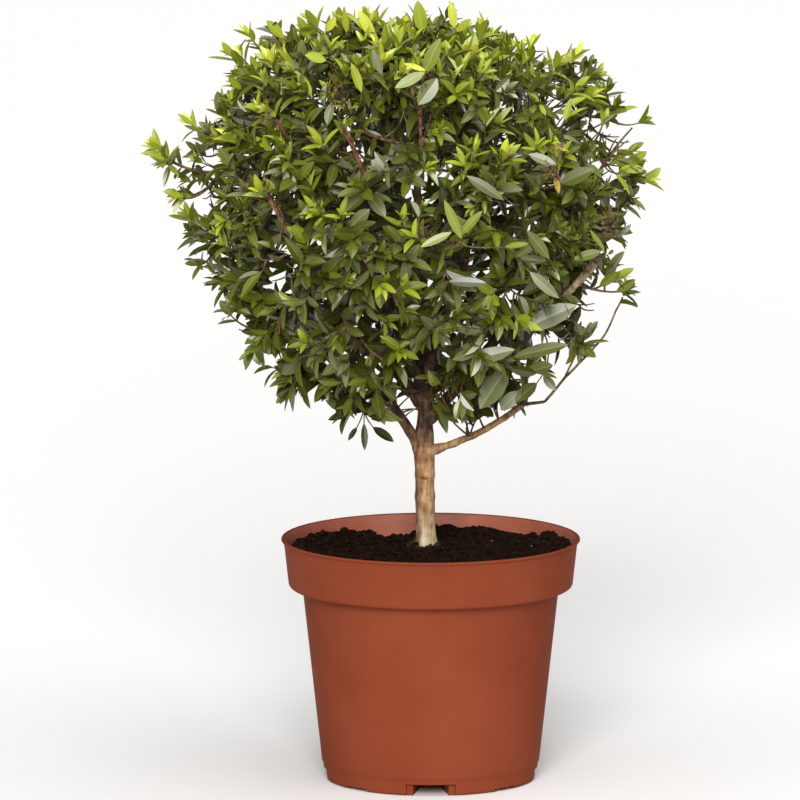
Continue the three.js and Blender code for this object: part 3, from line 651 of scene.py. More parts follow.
def makeLimbs():
    stemBark = barkMaterial("thinTanBark", "foot", bark["limbStreakMm"], bark["stemZones"], scar=True)
    shares = np.linspace(-0.05, 1.07, 170)
    line = [trunkCurve.at(t) for t in shares]
    points, faces = tube(line, [trunkRadius(t) for t in shares], 84, trunkRelief)
    addPiece("stemBark", points, faces, stemBark, ["trunk"])
    low, high = [], []
    for bough in boughs:
        curve = boughCurve(bough)
        shares = np.linspace(0, 1, 70)
        limb = tube([curve.at(t) for t in shares], boughRadii(bough, curve, shares), 28, barkRelief)
        group = low if bough["name"] == "low_right" else high
        group.append(("bough_" + bough["name"], limb))
    lowBark = barkMaterial("lowLimbBark", "tan", bark["limbStreakMm"], bark["lowZones"])
    for pieceName, group, material in (("boughBark", high, stemBark), ("lowBoughBark", low, lowBark)):
        points, faces = joined([limb for _, limb in group])
        addPiece(pieceName, points, faces, material, [name for name, _ in group])


makeLimbs()
print("stem and boughs are ready")

# Crown: the same shape and the same rule of growth as in the part's source, carried on to
# finer twigs. Each row is a height, then the reach to the left and to the right there.
crown = {
    "centre": (-9, 2, 299), "lumps": ((0.02, 3, 0.5), (0.015, 5, 2)),
    "profile": [
        (160, 4, 4), (170, 18, 20), (180, 33, 38), (190, 49, 54), (200, 64, 69), (210, 79, 82),
        (224, 93, 91), (238, 100, 95), (254, 108, 99), (270, 113, 103), (285, 116, 108), (300, 119, 114),
        (318, 115, 113), (332, 106, 109), (345, 98, 101), (357, 94, 93), (366, 90, 80), (373, 82, 62),
        (379, 62, 40), (384, 36, 20), (387, 2, 2),
    ],
}
crownCentre = np.array(crown["centre"], dtype=float)
crownRows = np.array(crown["profile"], dtype=float)


# How far the crown reaches from its axis at a height: a little more on one side than the other.
def crownReach(height, bearing):
    left = np.interp(height, crownRows[:, 0], crownRows[:, 1], 0, 0)
    right = np.interp(height, crownRows[:, 0], crownRows[:, 2], 0, 0)
    lumpy = 1
    for lump, count, turn in crown["lumps"]:
        lumpy += lump * math.sin(count * bearing + turn)
    return lumpy * (left * (1 - math.cos(bearing)) + right * (1 + math.cos(bearing))) / 2


def onOutline(direction):
    way = unit(direction)
    bearing = math.atan2(way[1], way[0])
    flat = math.hypot(way[0], way[1])
    low, high = 0.0, 150.0
    for _ in range(18):
        middle = (low + high) / 2
        inside = flat * middle < crownReach(crownCentre[2] + way[2] * middle, bearing)
        low, high = (middle, high) if inside else (low, middle)
    return crownCentre + way * low


def crownShare(point):
    offset = np.asarray(point, dtype=float) - crownCentre
    return np.linalg.norm(offset) / np.linalg.norm(onOutline(offset) - crownCentre)


def nearestMass(point):
    return int(np.argmin(((hearts - point) ** 2).sum(axis=1)))


# The dense inside of the crown, as a share of the way to the outline, and how far into it the stem
# of a mass runs.
core = {"outer": 0.68, "hub": 0.86}
# The shoots of the part's source: how many, how deep and uneven their tips lie under the outline.
shoots = {
    "count": 116, "depth": 19, "uneven": 7, "shortest": 24, "seed": 4711, "radii": (1.15, 0.42), "leafy": 36,
    "strayBack": 10,
}
# Shoots that stray out of the outline: bearing, height and reach.
strays = [
    (182, 318, 136), (178, 294, 127), (4, 328, 120), (-4, 302, 122), (-6, 248, 115), (186, 366, 96),
    (90, 300, 124), (-90, 290, 122), (190, 198, 72),
]
# Finer twigs, level by level: how many tips, how deep under the outline, the shortest twig,
# the length of each that carries leaves, and how thick it is at its tip.
levels = [
    {"name": "outer", "count": 860, "depth": (2, 14), "shortest": 14, "leafy": (18, 32), "tip": 0.28},
    {"name": "middle", "count": 520, "depth": (13, 34), "shortest": 12, "leafy": (18, 30), "tip": 0.3},
    {"name": "inner", "count": 230, "depth": (34, 62), "shortest": 12, "leafy": (18, 28), "tip": 0.3},
]
# How the crown grows: shoots turn up and wander, it thins out in places and low down, and few twigs
# end round the fork. A gap is kept clear with a margin.
habit = {
    "upturn": 0.8, "wander": 0.7, "thinning": 0.6, "sparseLow": 0.42, "topDepth": 5, "stemBend": 0.2,
    "stemEnd": 1.2, "twigStart": 0.6, "scatter": 0.16, "clumps": 2.3, "clumping": 7, "levelTurn": 1.7,
    "forkMiddle": (-3, 3), "forkClear": 26, "forkTop": 184, "gapMargin": 2.6,
}
# How a twig picks its wood and its way: the cost of a bend at its root and of a turn at its tip,
# how far it follows the old wood and its own end, and how late it bends.
branching = {"bendCost": 0.5, "turnCost": 0.7, "leave": 0.35, "arrive": 0.5, "late": 0.75}
# Leaves in pairs crosswise along a shoot: sizes in millimetres, a pair's lean from the shoot and
# the way to the next, from the tip down, and the spans that chance picks from.
pairs = {
    "lengthHigh": 11.8, "lengthLow": 13.8, "heights": (205, 330), "lengthSpan": (0.78, 1.25),
    "slender": (0.32, 0.45), "first": 0.2, "clothed": 0.86,
    "youngSlender": 0.82, "tenderFirst": (0.5, 0.95), "otherFirst": (0.45, 0.72), "grow": 0.22,
    "lean": (12, 30, 46, 57, 64, 68), "leanSpan": (-9, 11), "turnSpan": (-16, 16), "sag": 0.12,
    "internode": (0.8, 2.6, 4.2, 5.0, 5.4, 5.6), "internodeSpan": (0.8, 1.25),
    "sizeSpan": (0.84, 1.12), "widthSpan": (0.9, 1.12), "fold": (0.15, 0.85), "droop": (-0.08, 0.3),
    "skyward": 0.7, "outward": 0.25, "astray": 0.5,
}
# Leaf colours from a shoot's tip down, and how often each run comes at the top, half way and low.
# Inside the crown the darker runs come more often, and at the fork there is a dark run of its own: painted
# shade under the crown.
runs = [
    {"kinds": ("tender", "fresh", "fresh", "light", "mid", "deep"), "share": (0.5, 0.13, 0.05)},
    {"kinds": ("fresh", "fresh", "light", "mid", "deep", "deep"), "share": (0.26, 0.17, 0.12)},
    {"kinds": ("light", "mid", "mid", "deep", "deep", "dark"), "share": (0.14, 0.26, 0.27)},
    {"kinds": ("mid", "mid", "deep", "deep", "dark", "dark"), "share": (0.05, 0.24, 0.26)},
    {"kinds": ("silver", "grey", "mid", "grey", "deep", "dark"), "share": (0.05, 0.2, 0.3)},
]
forkShadeRun = ("mid", "deep", "dark", "dark", "dark", "dark")
runRule = {"heights": (225, 378), "inside": 0.45, "forkShare": 0.6}

# Small gaps in the crown, as they show from the front: across, up, half as wide, half as high. The
# sky shows through these.
skyGaps = [
    (9.7, 193.7, 5.5, 4.6), (95.3, 324.2, 4.5, 6.9), (98.3, 329.1, 4.5, 6.1), (-113.8, 294.9, 5.8, 4.8),
    (62.2, 341.5, 6.5, 2.8), (7.2, 174.4, 4.5, 5.6), (54, 195.9, 5.2, 5.4), (41.2, 244.4, 7.5, 3),
    (17.2, 177.4, 6, 3.5), (-20.6, 176.9, 3.2, 5), (-94.8, 229.6, 3.2, 4.5), (58.2, 222.6, 6, 2.5),
    (-94.2, 221.3, 3.2, 2.8), (33.7, 185.3, 3.5, 3.8), (-78.5, 210.9, 3.5, 3.5), (-110.5, 311.4, 3.5, 4),
    (23.7, 180.8, 3.5, 2.8), (-11.2, 186.8, 2.8, 3.3), (30.7, 219.8, 5, 3.3), (-33.4, 182.1, 3, 3),
    (105.8, 298.1, 3.5, 3.5), (-36.4, 213.9, 2.5, 3), (-81.5, 250.7, 3, 2.8), (85.5, 239.1, 8.2, 11.4),
    (80.3, 330.8, 3, 3.5), (87.3, 325.5, 3.5, 3.5), (82.5, 312.3, 3, 4), (89.3, 307.3, 3, 4),
    (64.8, 331.1, 3, 3.5),
]
# Hollows go back to a depth only, the last value. They bare a cut twig or the fork, and the last
# four are just dark.
hollows = [
    (-40.1, 324.2, 8.2, 24.1, -86), (-76, 284.5, 6.5, 10.2, -68), (74.3, 252, 6.5, 8.1, -36),
    (-5.7, 327.3, 3.2, 10.9, -82), (-74.2, 327.1, 2.8, 4.1, -72), (-5.3, 176.2, 9.1, 13.4, 30),
    (-2.6, 193.4, 5.3, 6.4, 0), (42.7, 284.4, 14, 9, -58), (-13, 331.5, 10, 11, -56),
    (-76.8, 258, 10, 9, -36), (20, 262, 8, 6, -60),
]
# Tips of long shoots round the edge, and of short leafy twigs low down at the fork, as they show
# from the front: across and up.
edgeTips = [
    (-7.1, 384.4), (8.2, 385.5), (-58.5, 380.5), (-90.1, 375.6), (-98.5, 365.1), (-78, 376.2),
    (-37.8, 378.7), (25.2, 375.9), (49.9, 369.9), (72, 364.9), (77.4, 350.6), (85.1, 345), (103.6, 331.5),
    (99.9, 317.6), (107.3, 302.5), (103.8, 293.9), (92.4, 283.5), (92.5, 275), (82.4, 261.9),
    (-93.3, 355.3), (-99.2, 341.1), (-119.4, 331), (-137.7, 317.8), (-131.6, 312), (-122.6, 302.5),
    (-124.6, 293.9), (-120.7, 284.4), (-115.2, 274), (-115.4, 260.6), (-104.3, 251.3), (-101.8, 236.9),
    (-95.7, 227.4), (-89.7, 218.8), (73.4, 218.7),
]
forkTips = [
    (-17.9, 194.2), (-29.4, 186.1), (-23.4, 182), (-20.4, 190.1), (8.2, 186.1), (18.7, 191.2),
    (24.7, 184.1), (18.7, 180), (34.7, 193.2), (41.2, 196.2), (-46.4, 195.2), (-61.4, 204.3),
    (-55.4, 200.3), (-39.4, 186.1), (-70.5, 204.3), (23.7, 196.2), (-35.4, 194.2), (31.7, 198.3),
]
# Edge twigs and fork twigs vary in depth by a turn from one to the next, so that neighbours differ.
oddTurn = 2.4
edgeTwigs = {"sway": 16, "shortest": 16, "radii": (0.75, 0.3), "leafy": 26}
forkTwigs = {"depth": -10, "sway": 14, "shortest": 7, "radii": (0.6, 0.3), "leafy": (9, 18)}
deadStubs = {"count": 22, "along": (0.12, 0.6), "length": (7, 13), "rise": 1.2, "radii": (0.55, 0.25)}
# The twig that runs on from the low limb, out of the crown, and the rosette on its way.
farTwig = {
    "line": [
        (45.2, 189.6), (57, 190.9), (67, 203.1), (74.3, 210.6), (83.8, 220.8), (87.8, 226.2), (92.5, 237.1),
        (95.8, 243.9),
    ],
    "depth": -8, "radii": (1.3, 0.75, 0.45), "rosette": (76.8, 222.6), "rosetteFrom": 3,
}
# A dry whisker: how far back from the cut it starts, how long and how thick it is, and its leaf.
whisker = {"back": (0, 9), "length": (4, 13), "radii": (0.4, 0.2), "leaf": (3, 6.5), "leafWide": (1.1, 2.2)}
# Pruned twigs and dry seed heads: the bark, where each enters the crown and where it is cut as it
# shows from the front, its depth, how thick it is at both ends, and how many dry whiskers it carries.
cutTwigs = [
    ("red", (-31.9, 300.2), (-41.9, 325), -90, (1, 1.25), 14),
    ("red", (-71.5, 275.8), (-81, 294.1), -72, (0.8, 1.3), 6),
    ("grey", (65.8, 243.4), (81.3, 260.6), -42, (1.5, 2.3), 9),
    ("red", (-5.4, 318), (-5.9, 338.2), -88, (0.7, 1), 8),
    ("red", (-71.5, 323.5), (-76.5, 331.1), -76, (0.8, 0.9), 6),
    ("grey", (91.8, 275.3), (88.3, 281.4), -52, (0.6, 0.7), 20),
    ("red", (62.8, 301.7), (58.2, 307.8), -94, (0.6, 0.7), 16),
    ("grey", (-42.9, 338.2), (-44.9, 345.3), -88, (0.6, 0.6), 18),
]
# Leaves that stand out, such as the large old ones low on the right: kind, where each starts and
# ends as it shows from the front, its width and its depth.
largeLeaves = [
    ("dark", (-28.9, 178), (-18.4, 170.9), 5, -12),
    ("dark", (-33.4, 180), (-32.9, 166.3), 3.6, -12),
    ("dark", (-36.9, 178), (-41.4, 171.4), 3, -10),
    ("deep", (-22.4, 188.1), (-26.4, 180.5), 4, -14),
    ("silver", (71.8, 239.3), (44.7, 227.2), 10.5, -48),
    ("grey", (67.8, 219.5), (40.2, 214), 7.5, -50),
    ("silver", (41.2, 217), (14.2, 210.9), 8, -62),
    ("silver", (38.2, 207.9), (23.7, 187.6), 12.5, -44),
    ("silver", (29.2, 236.3), (20.7, 223.6), 8.5, -68),
    ("grey", (10.7, 211.4), (26.7, 222.6), 7, -66),
    ("grey", (52.7, 200.3), (41.7, 191.2), 7.5, -30),
    ("grey", (43.7, 196.2), (34.7, 186.6), 7, -28),
    ("grey", (56.2, 204.3), (62.2, 196.7), 4.5, -22),
    ("silver", (-56.4, 289.5), (-64.5, 282.4), 5, -88),
    ("grey", (2.7, 351.4), (-6.4, 338.2), 8.4, -92),
    ("silver", (-48.9, 339.2), (-51.4, 328.6), 5, -90),
    ("yellow", (60.7, 303.2), (62.7, 294.6), 3.2, -88),
    ("silver", (-29.4, 310.8), (-21.9, 305.7), 6, -94),
    ("silver", (-72, 305.7), (-67, 295.6), 6, -84),
    ("grey", (-39.4, 278.4), (-30.4, 286.5), 6.5, -98),
    ("fresh", (-3.9, 376.7), (-6.9, 392.4), 6.9, -14),
    ("tender", (11.7, 379.3), (9.7, 392.4), 4.6, -12),
    ("tender", (-27.9, 372.7), (-35.9, 387.9), 5.7, -18),
    ("fresh", (-41.9, 376.7), (-42.9, 387.4), 3.8, -16),
    ("fresh", (-60.4, 373.2), (-66.0, 384.8), 5.4, -14),
    ("fresh", (-56.4, 379.3), (-62.4, 387.4), 5, -10),
    ("fresh", (-73.5, 374.2), (-81.5, 382.8), 5.4, -12),
    ("tender", (-51.9, 377.2), (-47.4, 384.3), 4, -16),
    ("fresh", (12.7, 377.2), (19.7, 383.3), 4.5, -16),
    ("light", (-3.4, 354.4), (4.2, 371.6), 7, -76),
    ("light", (-3.4, 354.4), (-17.9, 346.8), 5.4, -90),
    ("tender", (-2.9, 355.4), (-13.4, 359.0), 3, -88),
    ("fresh", (-34.4, 344.8), (-38.9, 359.0), 5, -88),
    ("silver", (-24.4, 353.9), (-28.9, 366.1), 4.5, -80),
    ("fresh", (-51.9, 361.0), (-61.9, 364.0), 6, -66),
    ("deep", (17.2, 302.7), (35.7, 291.0), 5.6, -112),
    ("light", (14.7, 271.8), (6.2, 290.5), 5, -114),
    ("light", (13.7, 273.3), (24.7, 285.5), 4.5, -112),
    ("light", (9.7, 274.8), (-5.4, 267.7), 4.2, -114),
    ("light", (36.2, 267.7), (47.2, 269.7), 3.5, -106),
    ("grey", (57.7, 262.1), (47.2, 276.3), 6.3, -96),
    ("grey", (48.7, 255.5), (62.8, 242.4), 5.6, -86),
    ("mid", (83.8, 266.2), (69.8, 262.1), 5.6, -60),
    ("light", (85.8, 265.7), (78.8, 276.8), 3, -56),
    ("silver", (47.7, 313.8), (61.2, 308.8), 5, -96),
    ("deep", (63.8, 299.7), (79.8, 306.8), 8, -84),
    ("dark", (8.7, 250.5), (26.7, 250.0), 5, -112),
]


# One of a count of places spread evenly over a sphere.
def spiral(i, count, turn=0.0):
    z = 1 - 2 * (i + 0.5) / count
    return np.array([*onCircle(math.sqrt(1 - z * z), i * math.pi * (3 - math.sqrt(5)) + turn), z])


def sourceTips():
    random = Seeded(shoots["seed"])
    tips = []
    for i in range(shoots["count"]):
        edge = onOutline(spiral(i, shoots["count"]))
        tips.append(edge + unit(crownCentre - edge) * (shoots["depth"] + shoots["uneven"] * random()))
    for bearing, height, reach in strays:
        x, y = onCircle(reach - shoots["strayBack"], math.radians(bearing))
        tips.append(np.array([crownCentre[0] + x, crownCentre[1] + y, height]))
    return tips


# The stem of a mass: from its bough's tip to a hub in the heart of the mass.
def stemOf(bough):
    curve = boughCurve(bough)
    start = curve.at(1)
    heart = np.array(bough["heart"], dtype=float)
    share = core["hub"] * core["outer"] / crownShare(heart)
    hub = crownCentre + (heart - crownCentre) * share
    elbow = start + curve.way(1) * habit["stemBend"] * np.linalg.norm(hub - start)
    return Bend(start, elbow, hub)


# The nodes of one mass: places where a twig can branch off, and the way the wood runs there.
class Wood:
    def __init__(self):
        self.at = np.zeros((0, 3))
        self.way = np.zeros((0, 3))

    def add(self, curve, shares):
        self.at = np.vstack([self.at] + [curve.at(t) for t in shares])
        self.way = np.vstack([self.way] + [curve.way(t) for t in shares])

    def twigTo(self, tip, shortest, ending):
        span = tip - self.at
        distance = np.linalg.norm(span, axis=1)
        bend = 1 - (span * self.way).sum(axis=1) / np.maximum(distance, 1e-6)
        turn = 1 - (span @ ending) / np.maximum(distance, 1e-6)
        cost = distance * (1 + branching["bendCost"] * bend + branching["turnCost"] * turn)
        cost += 1e6 * (distance < shortest)
        best = int(np.argmin(cost))
        start, reach = self.at[best], distance[best]
        leaving = start + self.way[best] * branching["leave"] * reach
        arriving = tip - ending * branching["arrive"] * reach
        late = branching["late"]
        return Bend(start, (1 - late) * leaving + late * arriving, tip)


# Shoots turn up towards the light at their ends, each a little its own way.
def endingAt(tip, random):
    outward = unit(tip - crownCentre)
    astray = random.astray() * 2
    return unit(outward + np.array([0, 0, habit["upturn"]]) + habit["wander"] * astray)


growth = {"twigs": [], "leaves": {}, "cut": {"red": [], "grey": []}}
slope = math.tan(math.radians(camera["elevation"]))


# A twig along a curve: how thick it is at both ends, and its steps.
def addTwig(curve, first, last, steps):
    growth["twigs"].append((curve, first, last, steps))


# A leaf of a kind: its root, the way it runs, the way it faces, its length, width, fold and droop.
def addLeaf(kind, *leaf):
    growth["leaves"].setdefault(kind, []).append(leaf)


def pickRun(tip, random, zone):
    # At the fork the dark run is painted shade under the crown.
    if zone == "fork":
        return forkShadeRun if random() < runRule["forkShare"] else runs[4]["kinds"]
    high = smoothstep(tip[2], *runRule["heights"])
    high *= 1 if zone in ("outer", "source") else runRule["inside"]
    chance = random()
    for run in runs:
        top, half, low = run["share"]
        share = half + (top - half) * (2 * high - 1) if high > 0.5 else low + (half - low) * 2 * high
        if chance < share:
            return run["kinds"]
        chance -= share
    return runs[3]["kinds"]


# Leaves in pairs from a shoot's tip down. Some way that hardly any shoot takes gives them a side.
notAxis = (0.13, 0.21, 0.97)


def leafUp(curve, random, zone, leafy):
    length = curve.length()
    tip = curve.at(1)
    kinds = pickRun(tip, random, zone)
    young = kinds[0] in ("tender", "fresh")
    high = smoothstep(tip[2], *pairs["heights"])
    full = pairs["lengthLow"] + (pairs["lengthHigh"] - pairs["lengthLow"]) * high
    full *= random.between(*pairs["lengthSpan"])
    slender = random.between(*pairs["slender"])
    spin = random.between(0, 180)
    firstSize = random.between(*pairs["tenderFirst" if kinds[0] == "tender" else "otherFirst"])
    slender *= pairs["youngSlender"] if young else 1
    sag = np.array([0, 0, 0 if young else -pairs["sag"] * (1 - high)])
    outward = unit(tip - crownCentre)
    down = pairs["first"]
    pair = 0
    while down < min(leafy, pairs["clothed"] * length):
        t = 1 - down / length
        root, axis = curve.at(t), curve.way(t)
        across = unit(np.cross(axis, notAxis))
        grown = min(1, firstSize + pairs["grow"] * pair)
        rank = min(pair, 5)
        for half in (0, 180):
            turn = spin + 90 * pair + half + random.between(*pairs["turnSpan"])
            away = turnAbout(across, axis, turn)
            tilt = math.radians(pairs["lean"][rank] + random.between(*pairs["leanSpan"]))
            along = unit(axis * math.cos(tilt) + away * math.sin(tilt) + sag)
            sky = axis + pairs["skyward"] * np.array([0, 0, 1]) + pairs["outward"] * outward
            sky = sky + pairs["astray"] * random.astray()
            face = np.cross(along, unit(np.cross(sky, along)))
            size = full * grown * random.between(*pairs["sizeSpan"])
            width = size * slender * random.between(*pairs["widthSpan"])
            fold, droop = random.between(*pairs["fold"]), random.between(*pairs["droop"])
            addLeaf(kinds[rank], root, along, face, size, width, fold, droop)
        down += pairs["internode"][rank] * random.between(*pairs["internodeSpan"])
        pair += 1


# Wood grows mass by mass: its stem, the shoots of the part's source, then finer twigs level by
# level. Noise over the outline makes the crown denser in places, and low down it is sparser.
def growCrown():
    random = Seeded(2024)
    wood = [Wood() for _ in boughs]
    for bough, own in zip(boughs, wood):
        stem = stemOf(bough)
        own.add(stem, np.linspace(0.15, 0.95, 7))
        addTwig(stem, bough["radii"][1], habit["stemEnd"], 10)
    for tip in sourceTips():
        own = wood[nearestMass(tip)]
        curve = own.twigTo(tip, shoots["shortest"], endingAt(tip, random))
        own.add(curve, (0.2, 0.35, 0.5, 0.65, 0.8))
        addTwig(curve, *shoots["radii"], 9)
        leafUp(curve, random, "source", shoots["leafy"])
    for number, level in enumerate(levels):
        for i in range(level["count"]):
            direction = spiral(i, level["count"], habit["levelTurn"] * (number + 1))
            direction = unit(direction + habit["scatter"] * random.astray())
            dense = noise.noise(Vector(direction * habit["clumps"]) + Vector((5, 5, number)))
            depth = random.between(*level["depth"]) - habit["clumping"] * dense
            depth += habit["topDepth"] * smoothstep(direction[2], 0.5, 0.9)
            if random() < habit["thinning"] * (0.5 - 1.6 * dense):
                continue
            edge = onOutline(direction)
            if random() < habit["sparseLow"] * (1 - smoothstep(edge[2], 190, 300)):
                continue
            tip = edge + unit(crownCentre - edge) * depth
            fromFork = math.dist(tip[:2], habit["forkMiddle"])
            if tip[2] < habit["forkTop"] and fromFork < habit["forkClear"]:
                continue
            own = wood[nearestMass(tip)]
            curve = own.twigTo(tip, level["shortest"], endingAt(tip, random))
            own.add(curve, (0.35, 0.6))
            addTwig(curve, habit["twigStart"], level["tip"], 6)
            leafUp(curve, random, level["name"], random.between(*level["leafy"]))
    growEdges(wood, random)
    growFork(random)
    growFarTwig(random)
    growCutTwigs(wood, random)
    for kind, leaves in growth["leaves"].items():
        growth["leaves"][kind] = outsideGaps(leaves)
    placeLargeLeaves(wood)


# A point as it shows from the front, set back to its place at a depth.
def atDepth(shown, depth):
    return np.array([shown[0], depth, shown[1] - slope * depth])


def growEdges(wood, random):
    for i, shown in enumerate(edgeTips):
        tip = atDepth(shown, edgeTwigs["sway"] * math.sin(oddTurn * i))
        curve = wood[nearestMass(tip)].twigTo(tip, edgeTwigs["shortest"], endingAt(tip, random))
        addTwig(curve, *edgeTwigs["radii"], 7)
        leafUp(curve, random, "outer", edgeTwigs["leafy"])


# Short leafy twigs and dead stubs low down, straight from the limbs.
def growFork(random):
    limbs = Wood()
    for name in ("left", "low_right", "leader", "right"):
        limbs.add(boughCurve(boughNamed[name]), (0.45, 0.6, 0.75, 0.9))
    for i, shown in enumerate(forkTips):
        tip = atDepth(shown, forkTwigs["depth"] + forkTwigs["sway"] * math.sin(oddTurn * i))
        ending = unit(unit(tip - trunkCurve.at(1)) + np.array([0, -0.2, 0.5 * random() - 0.3]))
        curve = limbs.twigTo(tip, forkTwigs["shortest"], ending)
        addTwig(curve, *forkTwigs["radii"], 7)
        leafUp(curve, random, "fork", random.between(*forkTwigs["leafy"]))
    for i in range(deadStubs["count"]):
        onLeft = i % 4 == 3
        limb = boughCurve(boughNamed["left" if onLeft else "leader"])
        root = limb.at(random.between(*deadStubs["along"]))
        inward = 0.8 if i % 2 or onLeft else -0.8
        away = unit(np.array([inward, -0.7 * random(), random.between(0.1, 1.1)]))
        tip = root + away * random.between(*deadStubs["length"])
        bend = (root + tip) / 2 + np.array([0, 0, deadStubs["rise"]])
        addTwig(Bend(root, bend, tip), *deadStubs["radii"], 5)


def growFarTwig(random):
    line = [np.array(boughNamed["low_right"]["tip"], dtype=float)]
    line += [atDepth(shown, farTwig["depth"]) for shown in farTwig["line"]]
    sizes = np.interp(np.linspace(0, 1, len(line)), (0, 0.25, 1), farTwig["radii"])
    for i in range(len(line) - 1):
        bend = (line[i] + line[i + 1]) / 2 + np.array([0.3, 0.4, -0.3])
        addTwig(Bend(line[i], bend, line[i + 1]), sizes[i], sizes[i + 1], 4)
    leafUp(Bend(line[-2], line[-1], line[-1] + unit(line[-1] - line[-2]) * 3), random, "inner", 9)
    start = line[farTwig["rosetteFrom"]]
    tip = atDepth(farTwig["rosette"], farTwig["depth"] - 4)
    side = Bend(start, 0.5 * (start + tip) + np.array([0, 0, 1.5]), tip)
    addTwig(side, 0.6, 0.35, 6)
    leafUp(side, random, "inner", 12)


def growCutTwigs(wood, random):
    for tones, low, cutAt, depth, radii, whiskers in cutTwigs:
        low, cutAt = atDepth(low, depth + 6), atDepth(cutAt, depth)
        ending = unit(cutAt - low)
        addTwig(wood[nearestMass(low)].twigTo(low, 12, ending), 0.8, radii[0], 8)
        stub = Bend(low, (low + cutAt) / 2 + np.array([0.8, 0, 0.4]), cutAt)
        growth["cut"][tones].append((stub, *radii))
        for _ in range(whiskers):
            astray = np.array([random() - 0.5, random() - 0.7, random() - 0.5])
            root = cutAt - ending * random.between(*whisker["back"])
            tip = root + unit(ending + 1.5 * astray) * random.between(*whisker["length"])
            addTwig(Bend(root, (root + tip) / 2 + 2 * astray, tip), *whisker["radii"], 4)
            along = unit(tip - root + 4 * np.array([random() - 0.5, 0, random() - 0.5]))
            face = np.cross(along, unit(np.cross(along, (astray[2], -1, astray[0]))))
            size, width = random.between(*whisker["leaf"]), random.between(*whisker["leafWide"])
            addLeaf("dry", tip, along, face, size, width, 0.5, 0.3)


# Large leaves face the front and a little up, each turned its own way, on twigs of their own.
def placeLargeLeaves(wood):
    for i, (kind, start, end, width, depth) in enumerate(largeLeaves):
        root, tip = atDepth(start, depth), atDepth(end, depth - 3)
        along = unit(tip - root)
        addTwig(wood[nearestMass(root)].twigTo(root, 8, along), 0.5, 0.3, 6)
        sight = (0.3 * math.sin(oddTurn * i), -0.82, 0.5 + 0.2 * math.cos(oddTurn * i))
        face = np.cross(along, unit(np.cross(sight, along)))
        addLeaf(kind, root, along, face, np.linalg.norm(tip - root), width, 0.14, 0.06)


# Leaves that would close one of the gaps are left out.
def outsideGaps(leaves):
    middles = np.array([leaf[0] + 0.5 * leaf[3] * leaf[1] for leaf in leaves])
    across, up = middles[:, 0], middles[:, 2] + slope * middles[:, 1]
    closed = np.zeros(len(leaves), dtype=bool)
    margin = habit["gapMargin"]
    for x, z, halfWide, halfHigh, depth in [(*gap, math.inf) for gap in skyGaps] + hollows:
        near = ((across - x) / (halfWide + margin)) ** 2 + ((up - z) / (halfHigh + margin)) ** 2 < 1
        closed |= near & (middles[:, 1] < depth)
    return [leaf for leaf, gone in zip(leaves, closed) if not gone]


growCrown()
leafCount = sum(len(leaves) for leaves in growth["leaves"].values())
print("the crown has", len(growth["twigs"]), "twigs and", leafCount, "leaves")

# Myrtle leaves: a waxy skin with a soft sheen, deep green when old and yellow-green when new. For
# each kind, the colour of the blade and of its rib, and the roughness.
# The grey and silver blades are paler: partly the undersides' own colour, partly painted sheen.
leafKinds = {
    "tender": ("#c4c93e", "#d8dc75", 0.42), "fresh": ("#949e25", "#aeb54e", 0.4),
    "light": ("#727c1a", "#909741", 0.37), "mid": ("#5d6415", "#7a8037", 0.35),
    "deep": ("#4b4f0e", "#65692c", 0.34), "dark": ("#363709", "#4e5121", 0.33),
    "grey": ("#5f622e", "#7e8251", 0.38), "silver": ("#6a6e47", "#868b62", 0.4),
    "yellow": ("#9a781d", "#b3923c", 0.5), "dry": ("#6f5238", "#8d7153", 0.75),
}
# The leaf's outline: places from its stalk to its point, with half its width there, as shares.
leafShape = {
    "along": (0, 0.08, 0.25, 0.48, 0.7, 0.88, 1.0), "across": (0.08, 0.4, 0.86, 1.0, 0.86, 0.47, 0.0),
    "cloudMm": 11.11, "darker": 0.62, "lighter": 1.42, "ribEdge": (0.04, 0.14), "gloss": 0.85,
}


# The rib is paler. It lies where the first of the two marks on a leaf's corners is near nought.
def waxyLeaf(kind):
    colour, ribColour, roughness = leafKinds[kind]
    material, tree, surface = newMaterial(kind + "MyrtleLeaf", colour, roughness, 1.46, leafShape["gloss"])
    places = addNode(tree, "TexCoord", {})
    split = addNode(tree, "SeparateXYZ", {"Vector": places.outputs["UV"]})
    cloud = addNode(tree, "TexNoise", {
        "Vector": places.outputs["Object"], "Scale": scaleFor(leafShape["cloudMm"]), "Detail": 3})
    red, green, blue, _ = linear(colour)
    dark = [c * leafShape["darker"] for c in (red, green, blue)] + [1]
    light = [min(1, c * leafShape["lighter"]) for c in (red, green, blue)] + [1]
    shade = addNode(tree, "Mix", {0: cloud, 6: dark, 7: light}, data_type="RGBA").outputs[2]
    near, far = leafShape["ribEdge"]
    rib = addNode(tree, "MapRange", {
        "Value": split.outputs["X"], "From Min": near, "From Max": far, "To Min": 0.8, "To Max": 0.0})
    ribbed = addNode(tree, "Mix", {0: rib, 6: shade, 7: linear(ribColour)}, data_type="RGBA").outputs[2]
    setInputs(tree, surface, {"Base Color": ribbed})
    return material


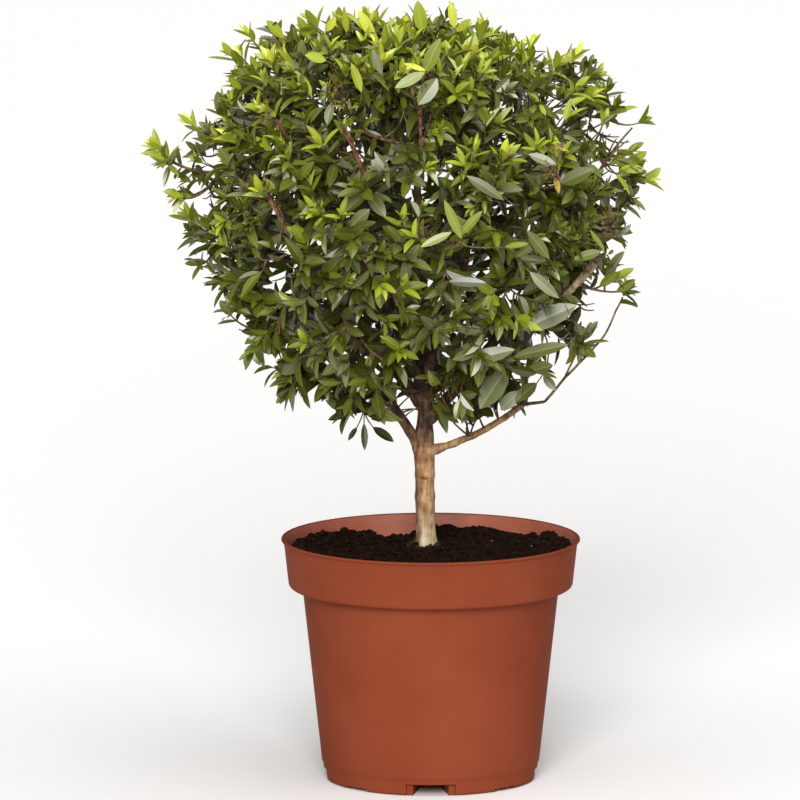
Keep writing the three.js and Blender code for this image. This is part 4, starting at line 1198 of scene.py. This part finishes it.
# All leaves of a kind in one mesh. Each has two halves, from the rib to the edge, that fold up
# from the rib and droop towards the point.
def makeLeaves(kind, leaves):
    roots, alongs, ups = (np.array([leaf[i] for leaf in leaves]) for i in range(3))
    lengths, widths, folds, droops = (np.array([leaf[i] for leaf in leaves]) for i in range(3, 7))
    sides = np.cross(ups, alongs)
    points = []
    marks = []
    for half in (-1, 1):
        for edge in (0, 1):
            for t, w in zip(leafShape["along"], leafShape["across"]):
                reach = edge * half * w * widths / 2
                lift = folds * np.abs(reach) - droops * lengths * t * t
                points.append(roots + alongs * (lengths * t)[:, None] + sides * reach[:, None]
                              + ups * lift[:, None])
                marks.append((edge * w, t))
    points = np.stack(points, axis=1)
    stations = len(leafShape["along"])
    pattern = []
    for half in (0, 1):
        middle = half * 2 * stations
        rim = middle + stations
        for i in range(stations - 1):
            quad = (middle + i, middle + i + 1, rim + i + 1, rim + i)
            if i == stations - 2:
                quad = (middle + i, middle + i + 1, rim + i)
            pattern.append(quad if half == 0 else quad[::-1])
    bases = range(0, len(leaves) * len(marks), len(marks))
    faces = [tuple(base + corner for corner in quad) for base in bases for quad in pattern]
    piece = addPiece(kind + "Leaves", points.reshape(-1, 3), faces, waxyLeaf(kind), massNames)
    layer = piece.data.uv_layers.new(name="leafPlace")
    oneLeaf = [value for quad in pattern for corner in quad for value in marks[corner]]
    layer.data.foreach_set("uv", oneLeaf * len(leaves))


def taperedTube(curve, first, last, steps, sides, relief=None):
    shares = np.linspace(0, 1, steps)
    return tube([curve.at(t) for t in shares], first + (last - first) * shares, sides, relief)


def makeTwigs():
    points, faces = joined([taperedTube(*twig, 5) for twig in growth["twigs"]])
    skin = barkMaterial("oliveTwigSkin", "twig", bark["twigStreakMm"])
    addPiece("fineTwigs", points, faces, skin, massNames)
    for tones, stubs in growth["cut"].items():
        points, faces = joined([taperedTube(*stub, 24, 12, barkRelief) for stub in stubs])
        pruned = barkMaterial(tones + "PrunedBark", tones, bark["cutStreakMm"])
        addPiece(tones + "CutTwigs", points, faces, pruned, massNames)


for kind, leaves in growth["leaves"].items():
    makeLeaves(kind, leaves)
makeTwigs()
print("leaves and twigs are ready")
